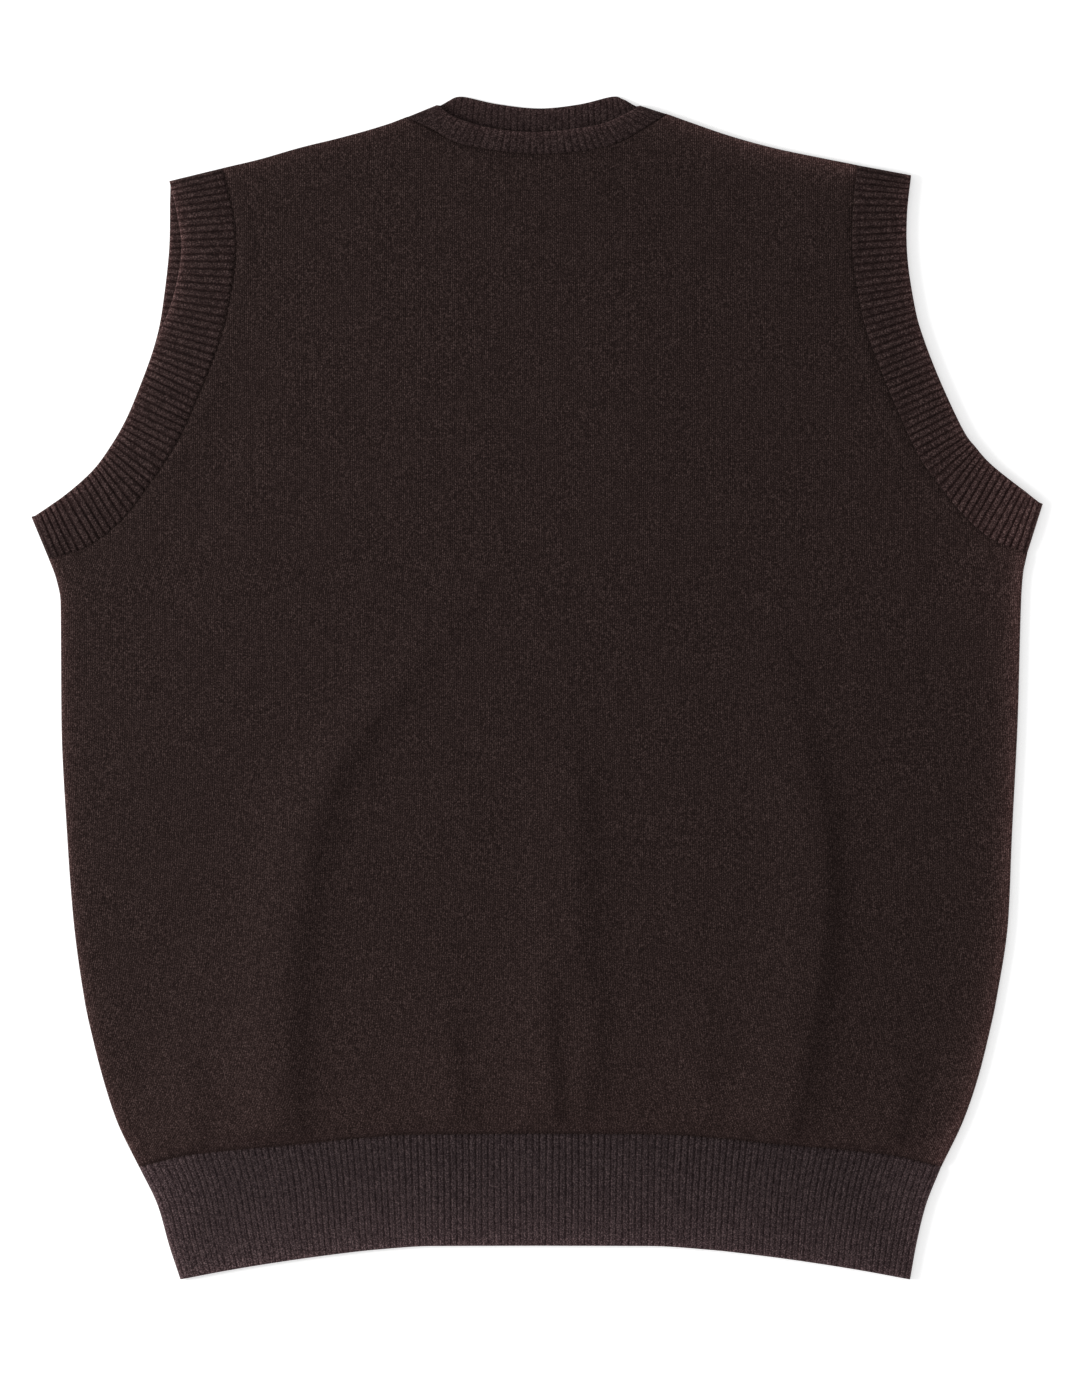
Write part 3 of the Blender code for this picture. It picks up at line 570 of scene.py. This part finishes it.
# Painted light: the front is painted paler towards the hem, towards its right side and near the
# right underarm, a glow that stands for light, not wear.
HEM_GLOW = 0.13
HEM_GLOW_REACH = 65.0 * MM
RIGHT_SIDE_GLOW = 2.6
RIGHT_SIDE_GLOW_REACH = 250.0
RIGHT_UNDERARM = np.array((288.0, 436.0)) * MM
UNDERARM_REACH = 42.0 * MM
UNDERARM_GLOW = 0.22

HEM_STEPS = (0.0, 0.35, 0.8, 1.3, 2.0, 3.0, 4.2)
FRONT_SIDE_ROWS = 120
FRONT_COLUMNS = 195


def near_underarm(plan):
    """How near to the right underarm the wool is, where it is painted palest, a patch of painted
    light.
    """
    return np.exp(-np.linalg.norm(plan - RIGHT_UNDERARM, axis=-1) / UNDERARM_REACH)


def fold_rise(x, y):
    """Rise of the long folds and of the fullness above the hem rib, in millimetres."""
    total = np.zeros_like(x)
    for rise, gentle, steep, crest in FOLDS:
        low, top = crest[0][0], crest[-1][0]
        fade = FOLD_FADE * (top - low)
        reach = x - read_by_key(crest, 1, y)
        reach = reach / np.where(reach < 0.0, gentle, steep)
        height = (rise * ease(top + FOLD_TAIL * fade, top - fade, y)
                  * ease(low - FOLD_START, low + FOLD_START, y))
        total += height * np.exp(-reach * reach)
    share = np.maximum(0.0, (y - hem_height(x * MM, 2) / MM) / BLOUSE_PEAK)
    sides = 1.0 - ease(*BLOUSE_SIDES, np.abs(x))
    return total + BLOUSE_RISE * share * np.exp(1.0 - share) * sides


def gathers(x, y):
    """Short uneven puckers where the hem rib draws the cloth in, in millimetres."""
    chance = np.random.default_rng(21)
    above = y - hem_height(x * MM, 2) / MM
    total = np.zeros_like(x)
    for middle in np.linspace(-GATHER_SPAN, GATHER_SPAN, GATHER_COUNT):
        start = middle + chance.uniform(-GATHER_SHIFT, GATHER_SHIFT)
        lean = chance.uniform(-GATHER_LEAN, GATHER_LEAN)
        width = chance.uniform(*GATHER_WIDTHS)
        length = chance.uniform(*GATHER_LENGTHS)
        rise = chance.uniform(*GATHER_RISES)
        reach = (x - start - lean * above) / width
        total += rise * np.exp(-reach * reach) * np.exp(-((above - GATHER_PEAK) / length) ** 2)
    return total


def slack(x, y):
    """The slight unevenness of knit that has been worn and laid down, in millimetres."""
    chance = np.random.default_rng(5)
    total = np.zeros_like(x)
    for length in SLACK_LENGTHS:
        for _ in range(3):
            angle = chance.uniform(0.0, math.pi)
            phase = chance.uniform(0.0, 2 * math.pi)
            wave = (x * math.cos(angle) + y * math.sin(angle)) / length * 2 * math.pi
            total += np.sin(wave + phase) * length * SLACK_RISE
    return total


rows_to_underarm = close_to_ends(FRONT_SIDE_ROWS, HEM_STEPS, SIDE_LENGTH)
front_rows = np.concatenate((rows_to_underarm, rows_to_shoulder))
front_plan, front_stitches = body_plan("front", front_rows, panel_columns(FRONT_COLUMNS))
x_mm, y_mm = front_plan[..., 0] / MM, front_plan[..., 1] / MM
from_sides = np.min([distance_to(line, front_plan) for line in SIDES.values()], 0)
from_shoulders = np.min([distance_to(line, front_plan) for line in SHOULDERS.values()], 0)
from_armholes = np.min([distance_to(line, front_plan) for line in ARMHOLES.values()], 0)
from_neck = distance_to(NECK_SEAMS["front"], front_plan)
from_hem = front_plan[..., 1] - hem_height(front_plan[..., 0], 2)
from_sewn = np.minimum(from_sides, from_shoulders)
from_bands = np.minimum(from_armholes, from_neck)

off_hem = ease(*LOFT_FROM_HEM, from_hem / MM)
off_sides = ease(*LOFT_FROM_SIDES, from_sides / MM)
off_seams = ease(*SLACK_FROM_SEAMS, np.minimum(from_sewn, from_bands) / MM)
front_loft = (fold_rise(x_mm, y_mm) * off_hem * off_sides
              + gathers(x_mm, y_mm) * ease(*GATHERS_FROM_HEM, from_hem / MM) * off_sides
              + slack(x_mm, y_mm) * off_seams * off_hem) * MM
from_ribs = np.minimum(from_bands, np.maximum(from_hem, 0.0)) / MM
front_loft += SEAM_SWELL * np.exp(-((from_ribs - SWELL_PLACE) / SWELL_WIDTH) ** 2)
seam_dips = ((ARMHOLE_DIP, from_armholes), (NECK_DIP, from_neck), (HEM_DIP, from_hem))
front_dip = np.max([depth * np.exp(-(distance / SEAM_HALF_WIDTH) ** 2)
                    for depth, distance in seam_dips], 0)
front_turn = turned_down(from_sewn)
front_out_height = (FRONT_OUTSIDE + front_loft - front_dip
                    - front_turn * (FRONT_OUTSIDE - MID_HEIGHT - RIM_WALL))
front_in_height = np.minimum(FRONT_INSIDE + front_loft - front_turn * (FRONT_INSIDE - MID_HEIGHT),
                             front_out_height - SEAM_WALL)
# Painted light with a little wear: paler at the edges, towards the right side, the hem and the
# right underarm.
front_glow_and_wear = (edge_glow_and_wear(from_sewn) * (1.0 + RIGHT_SIDE_GLOW * ease(0.0, RIGHT_SIDE_GLOW_REACH, x_mm))
                + HEM_GLOW * np.exp(-from_hem / HEM_GLOW_REACH)
                + UNDERARM_GLOW * near_underarm(front_plan))
front_body = knitted_piece("front_body", np.dstack((front_plan, front_out_height)),
                           np.dstack((front_plan, front_in_height)), front_stitches, front_glow_and_wear)
front_body.data.materials.append(BODY_WOOL)
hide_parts("front_panel")
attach(front_body, "root")


# ----------------------------------------------------------------------------------------------
# Hem ribs. Front and back each end in a one and one rib, about 66 mm deep, in the same wool. It is
# knitted tighter than the body, so it draws the hem in and arches up in the middle. The rib's
# upper edge is linked to the body and its lower edge is the knitting's own firm start.
# ----------------------------------------------------------------------------------------------
RIB_WALL = 2.2 * MM
RIB_TOP = FRONT_INSIDE + RIB_WALL
HEM_RIBS = 124
RIB_RISE = 0.60 * MM
RIB_MEAN = 0.45
RIB_SAMPLES = 8
RIB_COURSE = 1.75 * MM
RIB_FADE = 1.6
RIB_SWAY = 0.10
RIB_SWAY_LENGTH = 21.0
PURL_WIDTH = 0.12
PARTING_DEPTH = 0.10
PARTING_WIDTH = 0.09
HEM_DEPTH = 65.0 * MM
HEM_WIDTH = 440.0 * MM
HEM_ROUNDING = 1.4 * MM
HEM_SEAM_ROUNDING = 1.6 * MM
BACK_HEM_ROUNDING = 0.8 * MM
SEAM_LAP = 0.2 * MM
SCALLOP = 0.7 * MM
START_FLATTENING = 0.35
START_REACH = 32.0
LEFT_FLATTENING = 0.3
LEFT_EASE = (0.08, 0.35)
# Painted light, partly fuzz: the rib is painted paler towards its lower edge and its sides, a glow
# of light round the edge.
START_GLOW = 0.34
START_GLOW_REACH = 34.0 * MM

# The fourth colour is painted shade for the sunk lines between ribs.
HEM_WOOL = melange_wool("hem_wool", dark=(0.0094, 0.0060, 0.0064), mid=(0.0200, 0.0136, 0.0144),
                        light=(0.074, 0.054, 0.054), painted_groove_shade=(0.74, 0.70, 0.70), purl=0.10,
                        crease=0.20, mottle=0.30, speckle=0.95)


def rib_form(turns):
    """Section through ribs: each is two legs of a knit stitch that part slightly, with a narrow
    sunk purl between one rib and the next. 1 on a leg's crown, 0 in the sunk line."""
    place = np.mod(turns, 1.0)
    to_sunk = np.minimum(place, 1.0 - place)
    to_middle = np.abs(place - 0.5)
    parting = PARTING_DEPTH * np.exp(-(to_middle / PARTING_WIDTH) ** 2)
    return 1.0 - np.exp(-(to_sunk / PURL_WIDTH) ** 2) - parting


def rounded_edge(distance, radius):
    """Drop of a surface at a rounded edge of this radius."""
    inward = np.clip(distance / radius, 0.0, 1.0)
    return radius * (1.0 - np.sqrt(1.0 - (1.0 - inward) ** 2))


def rib_across(u, level):
    """Where a rib is across the hem at a share of its height. Ribs lean most at the sides."""
    seam_left, seam_right = HEM_SIDE[-1][1:]
    drawn_left = seam_left - read_by_key(HEM_SIDE, 1, level)
    drawn_right = seam_right - read_by_key(HEM_SIDE, 2, level)
    lean = (drawn_left * np.maximum(0.0, 1.0 - 2.0 * u) ** 2
            - drawn_right * np.maximum(0.0, 2.0 * u - 1.0) ** 2)
    return (seam_right * u - seam_left * (1.0 - u) + lean) * MM


def hem_rib(name, layer, columns):
    """The front's or the back's hem rib at these shares across. Only the front's ribs show."""
    levels = close_to_ends(26, (0.0, 0.3, 0.7, 1.2, 2.0, 3.0), HEM_DEPTH)[None, :]
    u = columns[:, None]
    x = rib_across(u, levels)
    low = hem_height(rib_across(u, 0.0), 1)
    seam = hem_height(rib_across(u, 1.0), 2) + SEAM_LAP
    y = low + levels * (seam - low)
    from_sides = np.minimum(x - rib_across(0.0, levels), rib_across(1.0, levels) - x)
    turn = turned_down(from_sides)
    from_seam = seam - y
    from_edge = y - low
    stitches = np.dstack(np.broadcast_arrays(u * HEM_RIBS, y / RIB_COURSE))
    plan = np.dstack((x, y))
    if layer == "back":
        outer = turn * (MID_HEIGHT - RIM_WALL)
        inner = (RIB_WALL + turn * (MID_HEIGHT - RIB_WALL)
                 - rounded_edge(from_edge, BACK_HEM_ROUNDING))
    else:
        sway = RIB_SWAY * np.sin(y / MM / RIB_SWAY_LENGTH + np.sin(u * 37.0) * 2.0)
        form = rib_form(u * HEM_RIBS + sway)
        flattened = ((1.0 - START_FLATTENING * (1.0 - ease(0.0, START_REACH, from_edge / MM)))
                     * (1.0 - LEFT_FLATTENING * (1.0 - ease(*LEFT_EASE, u))))
        rise = RIB_RISE * form * flattened * ease(0.0, RIB_FADE, from_seam / MM)
        drop = (rounded_edge(from_edge, HEM_ROUNDING)
                + rounded_edge(from_seam - SCALLOP * (1.0 - form), HEM_SEAM_ROUNDING))
        outer = (RIB_TOP - RIB_RISE * RIB_MEAN + rise - drop
                 - turn * (RIB_TOP - MID_HEIGHT - RIM_WALL))
        inner = FRONT_INSIDE - turn * (FRONT_INSIDE - MID_HEIGHT)
    # Painted light, partly fuzz: paler towards the sides and the lower edge.
    glow_and_wear = edge_glow_and_wear(np.minimum(from_sides, from_edge), START_GLOW_REACH, START_GLOW)
    piece = knitted_piece(name, np.dstack((plan, outer)), np.dstack((plan, inner)),
                          stitches, glow_and_wear)
    piece.data.materials.append(HEM_WOOL)
    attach(piece, "root")
    return piece


back_hem = hem_rib("back_hem", "back", close_to_ends(150, RIM_STEPS, HEM_WIDTH))
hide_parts("back_hem_rib")

front_hem = hem_rib("front_hem", "front", np.linspace(0.0, 1.0, HEM_RIBS * RIB_SAMPLES + 1))
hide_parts("front_hem_rib")


# ----------------------------------------------------------------------------------------------
# Armbands. Each is one ribbed strip, about 30 mm wide, joined into a ring and linked round the
# armhole, with its ribs square to the edge. It lies flat, front half on back half, and turns at
# the shoulder and at the underarm. The left one's back half stands out past the front half.
# ----------------------------------------------------------------------------------------------
ARMBAND_RIBS = 58
ARMBAND_WIDTH = 30.0 * MM
ARMBAND_BEND = 1.0 / 16
ARM_RIB_RISE = 0.80 * MM
BAND_ROUNDING = 1.3 * MM
BAND_SEAM_ROUNDING = 0.7
BAND_CROWN = 0.35 * MM
END_STEPS = 16
TURN_STEPS = 9
TURN_RIBS = 2.0
BAND_SWAY = 0.08
BAND_SWAY_LENGTH = 9.0
# Painted light: the bands are painted paler towards their free edges, a glow with a little real
# wear, and near the right underarm.
BAND_EDGE_GLOW = 1.3
BAND_UNDERARM_GLOW = 0.62

# The fourth colour is painted shade for the sunk lines between ribs.
BAND_WOOL = melange_wool("band_wool", dark=(0.0110, 0.0060, 0.0057), mid=(0.0230, 0.0135, 0.0126),
                         light=(0.077, 0.0505, 0.047), painted_groove_shade=(0.38, 0.32, 0.32), purl=0.16,
                         crease=0.32, mottle=0.34, speckle=0.95)


def lapped(line, free):
    """A seam line moved a little way under the panel, away from the band's free edge."""
    run = np.gradient(line, axis=0)
    square = np.stack((-run[:, 1], run[:, 0]), 1)
    square /= np.linalg.norm(square, axis=1)[:, None]
    towards = np.sign(np.sum(square * (free - line), 1))[:, None]
    return line - square * towards * SEAM_LAP


def even_shares(seam, free, count):
    """Shares of a band's length that space its ribs evenly, from its two edges at even shares."""
    middle = (seam + free) / 2
    run = np.concatenate(([0.0], np.cumsum(np.linalg.norm(np.diff(middle, axis=0), axis=1))))
    return np.interp(np.linspace(0.0, run[-1], count), run, np.linspace(0.0, 1.0, len(run)))


def ring_stations(count):
    """Stations round a ring laid flat: front half, second turn, back half and first turn. Each
    has its half (0 is the front), its place along that half, how high it stands in the turn
    (1 to -1) and how far out."""
    last = count - 1
    stations = [(0, place, 1.0, 0.0) for place in range(count)]
    for step in range(1, TURN_STEPS):
        angle = math.pi * (0.5 - step / TURN_STEPS)
        stations.append((0 if angle > 0.0 else 1, last, math.sin(angle), math.cos(angle)))
    stations += [(1, place, -1.0, 0.0) for place in reversed(range(count))]
    for step in range(1, TURN_STEPS):
        angle = -math.pi * (0.5 + step / TURN_STEPS)
        stations.append((0 if angle < -math.pi else 1, 0, math.sin(angle), abs(math.cos(angle))))
    return [np.array(column) for column in zip(*stations)]


def ribbed_band(name, edges_at, ribs, width, bend, rib_rise, wool, lightening):
    """A ribbed ring laid flat. edges_at gives the seam line and free edge of its front and back
    halves, from the first turn to the second, and bend is the share of a half over which it
    draws in to make room for the turn."""
    shares = np.linspace(0.0, 1.0, ribs * RIB_SAMPLES + 1)
    across = close_to_ends(16, (0.0, 0.15, 0.4, 0.8, 1.4), width)[None, :]
    radius = RIB_TOP / 2
    lines, outs = [], []
    for layer in ("front", "back"):
        seam, free = edges_at(layer, np.linspace(0.0, 1.0, 200))
        seam, free = edges_at(layer, even_shares(seam, free, len(shares)))
        seam = lapped(seam, free)
        reach = len(seam) // END_STEPS
        ends = [seam[0] - seam[reach], seam[-1] - seam[-1 - reach]]
        ends = [end / np.linalg.norm(end) for end in ends]
        insets = [np.clip(1.0 - from_end / bend, 0.0, 1.0) for from_end in (shares, 1.0 - shares)]
        shift = radius * sum(inset[:, None] * end for inset, end in zip(insets, ends))
        lines.append((seam - shift, free - shift))
        outs.append(ends)
    half, place, lift, swing = ring_stations(len(shares))
    lift = lift[:, None]
    seam = np.array([lines[h][0][p] for h, p in zip(half, place)])
    free = np.array([lines[h][1][p] for h, p in zip(half, place)])
    out = np.array([outs[h][0 if p == 0 else 1] for h, p in zip(half, place)])
    flat = seam[:, None] + (free - seam)[:, None] * across[..., None]
    breadth = np.linalg.norm(free - seam, axis=1)[:, None]
    from_free = (1.0 - across) * breadth
    from_seam = across * breadth
    turns = (shares * ribs)[place][:, None]
    sway = BAND_SWAY * np.sin(from_seam / MM / BAND_SWAY_LENGTH + np.sin(turns * 0.7) * 2.0)
    form = rib_form(turns + sway)
    on_front = np.clip(lift, 0.0, 1.0)
    on_back = np.clip(-lift, 0.0, 1.0)
    seam_drop = rounded_edge(from_seam - SCALLOP * (1.0 - form), BAND_ROUNDING)
    edges = rounded_edge(from_free, BAND_ROUNDING) + BAND_SEAM_ROUNDING * seam_drop
    crown = BAND_CROWN * np.sin(math.pi * across)
    front_relief = rib_rise * (form - RIB_MEAN) + crown - edges
    outer_height = radius + lift * radius + on_front * front_relief
    hollow = LAYER_GAP / 2
    inner_height = radius + lift * hollow + on_back * (rib_rise * (form - 1.0) - edges)
    outward = (out * swing[:, None])[:, None]
    outer = np.dstack((flat + outward * radius, outer_height))
    inner = np.dstack((flat + outward * hollow, inner_height))
    steps = np.where(np.diff(place) == 0, TURN_RIBS / TURN_STEPS, 1.0 / RIB_SAMPLES)
    along = np.concatenate(([0.0], np.cumsum(steps)))
    along = np.append(along, along[-1] + TURN_RIBS / TURN_STEPS)[:, None]
    courses = np.vstack((from_seam, from_seam[:1])) / RIB_COURSE
    stitches = np.dstack(np.broadcast_arrays(along, courses))
    # Painted light with a little wear: paler towards the free edge and near the right underarm.
    glow_and_wear = lightening * edge_glow_and_wear(from_free) + BAND_UNDERARM_GLOW * near_underarm(flat)
    piece = knitted_piece(name, outer, inner, stitches, glow_and_wear, closed=True)
    piece.data.materials.append(wool)
    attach(piece, "root")
    return piece


def left_arm_edges(layer, share):
    """The left armband's edges. Its back half stands out a little past its front half."""
    seam, free = plan_line(ARMHOLE, 0, share, -1.0), plan_line(ARMHOLE, 2, share, -1.0)
    away = (free - seam) / np.linalg.norm(free - seam, axis=1)[:, None]
    stand_out = np.maximum(0.0, read_by_row(ARMHOLE, 4, share))[:, None] * MM
    return seam, free + away * stand_out * (layer == "back")


def right_arm_edges(layer, share):
    """The right armband's edges, the same for both halves."""
    return plan_line(ARMHOLE, 5, share), plan_line(ARMHOLE, 7, share)


left_arm = ribbed_band("left_arm_rib", left_arm_edges, ARMBAND_RIBS, ARMBAND_WIDTH, ARMBAND_BEND,
                       ARM_RIB_RISE, BAND_WOOL, BAND_EDGE_GLOW)
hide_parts("left_armband")

right_arm = ribbed_band("right_arm_rib", right_arm_edges, ARMBAND_RIBS, ARMBAND_WIDTH, ARMBAND_BEND,
                        ARM_RIB_RISE, BAND_WOOL, BAND_EDGE_GLOW)
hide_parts("right_armband")


# ----------------------------------------------------------------------------------------------
# Neckband. One ribbed strip, about 15 mm wide, joined into a ring and linked round the neck. The
# back of the neck is cut higher, so the inside of the band's back half shows above the front half.
# ----------------------------------------------------------------------------------------------
NECK_RIBS = 36
NECKBAND_WIDTH = 15.0 * MM
NECKBAND_BEND = 1.0 / 12
NECK_RIB_RISE = 0.36 * MM
# Painted light: the neckband is painted paler towards its free edge, a glow with a little real
# wear.
NECK_EDGE_GLOW = 0.75
# The fourth colour is painted shade for the sunk lines between ribs.
NECK_WOOL = melange_wool("neck_wool", dark=(0.0082, 0.0045, 0.0044), mid=(0.0174, 0.0103, 0.0100),
                         light=(0.060, 0.040, 0.038), painted_groove_shade=(0.82, 0.79, 0.79), purl=0.10,
                         crease=0.32, mottle=0.34, speckle=0.95)


def neck_edges(layer, share):
    """The neckband's edges. Each half has its own, since the back is cut higher."""
    column = 0 if layer == "front" else 4
    return plan_line(NECK, column, share), plan_line(NECK, column + 2, share)


neck_rib = ribbed_band("neck_rib", neck_edges, NECK_RIBS, NECKBAND_WIDTH, NECKBAND_BEND,
                       NECK_RIB_RISE, NECK_WOOL, NECK_EDGE_GLOW)
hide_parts("neckband")


# ----------------------------------------------------------------------------------------------
# Linking. A chain of the same yarn joins each band and the hem rib to the body, one slanted
# stitch after another, drawn down into the seam. It is what holds the pieces together.
# ----------------------------------------------------------------------------------------------
LINK_PITCH = 2.4 * MM
LINK_LENGTH = 2.9 * MM
LINK_YARN = 0.55 * MM
LINK_LEAN = math.radians(28.0)
ARM_LINK_HEIGHT = 3.5 * MM
NECK_LINK_HEIGHT = 3.0 * MM
HEM_LINK_HEIGHT = 2.75 * MM
LINK_ARCH = 0.35 * MM
LINK_TAPER = 0.35
LINK_SLIP = 0.15 * MM
LINK_SWAY = 0.10
LINK_RINGS = 6
LINK_SIDES = 7
YARN_RELIEF = 0.15 * MM
YARN_FIBRES = 2400.0
YARN_FLECKS = 5200.0
YARN_STOPS = (0.40, 0.66)


def linking(name, line, lean, height):
    """Slanted yarn stitches along a seam, as one mesh of closed links."""
    chance = np.random.default_rng(len(line) + len(name))
    run = np.concatenate(([0.0], np.cumsum(np.linalg.norm(np.diff(line, axis=0), axis=1))))
    places = np.arange(LINK_PITCH, run[-1] - LINK_PITCH, LINK_PITCH)
    points, faces = [], []
    for place in places + chance.uniform(-1.0, 1.0, len(places)) * LINK_SLIP:
        here = np.array([np.interp(place, run, line[:, axis]) for axis in (0, 1)])
        ahead = np.array([np.interp(place + MM, run, line[:, axis]) for axis in (0, 1)])
        heading = math.atan2(*(ahead - here)[::-1]) + lean + chance.uniform(-LINK_SWAY, LINK_SWAY)
        forward = np.array([math.cos(heading), math.sin(heading), 0.0])
        sideways = np.array([-forward[1], forward[0], 0.0])
        start = len(points)
        for ring in range(LINK_RINGS):
            along = -1.0 + 2.0 * ring / (LINK_RINGS - 1)
            thick = LINK_YARN * (1.0 - LINK_TAPER * along * along)
            centre = np.append(here + SHIFT, height + LINK_ARCH * (1.0 - 2.0 * along * along))
            centre = centre + forward * along * LINK_LENGTH / 2
            for side in range(LINK_SIDES):
                turn = 2 * math.pi * side / LINK_SIDES
                upward = np.array([0.0, 0.0, math.sin(turn)])
                points.append(centre + thick * (sideways * math.cos(turn) + upward))
        last = start + (LINK_RINGS - 1) * LINK_SIDES
        for ring in range(start, last, LINK_SIDES):
            beyond = ring + LINK_SIDES
            for side in range(LINK_SIDES):
                after = (side + 1) % LINK_SIDES
                faces.append((ring + side, ring + after, beyond + after, beyond + side))
        faces.append(tuple(range(start + LINK_SIDES - 1, start - 1, -1)))
        faces.append(tuple(range(last, last + LINK_SIDES)))
    mesh = bpy.data.meshes.new(name)
    mesh.from_pydata([tuple(point) for point in points], [], faces)
    mesh.shade_smooth()
    piece = bpy.data.objects.new(name, mesh)
    bpy.context.scene.collection.objects.link(piece)
    piece.data.materials.append(LINK_WOOL)
    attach(piece, "root")
    return piece


def linking_wool(name, dark, light):
    """Wool yarn seen close: uneven fibres in relief, with a scatter of lighter ones."""
    yarn = Shading(name)
    place = yarn.node("ShaderNodeTexCoord").outputs["Object"]
    fibres = yarn.noise(place, YARN_FIBRES, 2.0)
    flecks = yarn.noise(place, YARN_FLECKS, 1.0)
    shade = yarn.calc("ADD", yarn.calc("MULTIPLY", fibres, 0.6), yarn.calc("MULTIPLY", flecks, 0.4))
    ramp = yarn.node("ShaderNodeValToRGB", Fac=shade)
    stops = ramp.color_ramp.elements
    stops[0].position, stops[0].color = YARN_STOPS[0], (*dark, 1.0)
    stops[1].position, stops[1].color = YARN_STOPS[1], (*light, 1.0)
    yarn.put(ramp.outputs[0], yarn.shader.inputs["Base Color"])
    bump = yarn.node("ShaderNodeBump", Height=fibres, Strength=0.6, Distance=YARN_RELIEF)
    yarn.put(bump.outputs[0], yarn.shader.inputs["Normal"])
    yarn.dry_wool(0.85, flecks)
    return yarn.material


LINK_WOOL = linking_wool("link_yarn", (0.0075, 0.0042, 0.0038), (0.034, 0.0205, 0.0188))
for side, lean in (("left", LINK_LEAN), ("right", -LINK_LEAN)):
    arm_seam = armhole_line(side, np.linspace(0.0, 1.0, 160))
    linking(side + "_arm_links", arm_seam, lean, ARM_LINK_HEIGHT)
neck_line = neck_seam("front", np.linspace(0.0, 1.0, 120))
linking("neck_links", neck_line, LINK_LEAN, NECK_LINK_HEIGHT)
hem_across = np.linspace(-HEM_SIDE[-1][1], HEM_SIDE[-1][2], 200) * MM
hem_line = np.stack((hem_across, hem_height(hem_across, 2)), -1)
linking("hem_links", hem_line, LINK_LEAN, HEM_LINK_HEIGHT)


# ----------------------------------------------------------------------------------------------
# Surface, lights and camera: a plain pale table seen from straight above, a broad soft light low on
# the left that shows the folds, and the even light of a white studio all round.
# ----------------------------------------------------------------------------------------------
TABLE_SIZE = 6.0
TABLE_TOP = -0.25 * MM
PAPER_SHADE = 0.86
PAPER_GLOW = 0.40
STUDIO_LIGHT = 0.64
VIEW_HEIGHT = 799.2 * MM
CAMERA_HEIGHT = 6.0
CAMERA_AIM = (1.7 * MM, -0.6 * MM)
SENSOR = 36.0

bpy.ops.mesh.primitive_plane_add(size=TABLE_SIZE, location=(0.0, 0.0, TABLE_TOP))
table = bpy.context.object
table.name = "pale_table"
paper = Shading("pale_paper")
paper.shader.inputs["Base Color"].default_value = (PAPER_SHADE, PAPER_SHADE, PAPER_SHADE, 1.0)
paper.shader.inputs["Roughness"].default_value = 0.9
paper.shader.inputs["Emission Color"].default_value = (1.0, 1.0, 1.0, 1.0)
paper.shader.inputs["Emission Strength"].default_value = PAPER_GLOW
table.data.materials.append(paper.material)


def soft_light(name, place, size, power):
    """A rectangular light that faces the middle of the vest."""
    data = bpy.data.lights.new(name, "AREA")
    data.shape = "RECTANGLE"
    data.size, data.size_y = size
    data.energy = power
    lamp = bpy.data.objects.new(name, data)
    lamp.location = place
    lamp.rotation_euler = lamp.location.to_track_quat("Z", "Y").to_euler()
    bpy.context.scene.collection.objects.link(lamp)


soft_light("window_light", (-1.80, 0.05, 0.95), (0.9, 0.9), 44.0)

sky = bpy.data.worlds.new("studio")
sky.use_nodes = True
background = sky.node_tree.nodes["Background"]
background.inputs["Color"].default_value = (1.0, 1.0, 1.0, 1.0)
background.inputs["Strength"].default_value = STUDIO_LIGHT
bpy.context.scene.world = sky
bpy.context.scene.view_settings.view_transform = "Standard"

lens = bpy.data.cameras.new("overhead")
lens.sensor_width = SENSOR
lens.lens = SENSOR * CAMERA_HEIGHT / VIEW_HEIGHT
lens.clip_end = 50.0
camera = bpy.data.objects.new("overhead", lens)
camera.location = (*CAMERA_AIM, CAMERA_HEIGHT)
bpy.context.scene.collection.objects.link(camera)
bpy.context.scene.camera = camera
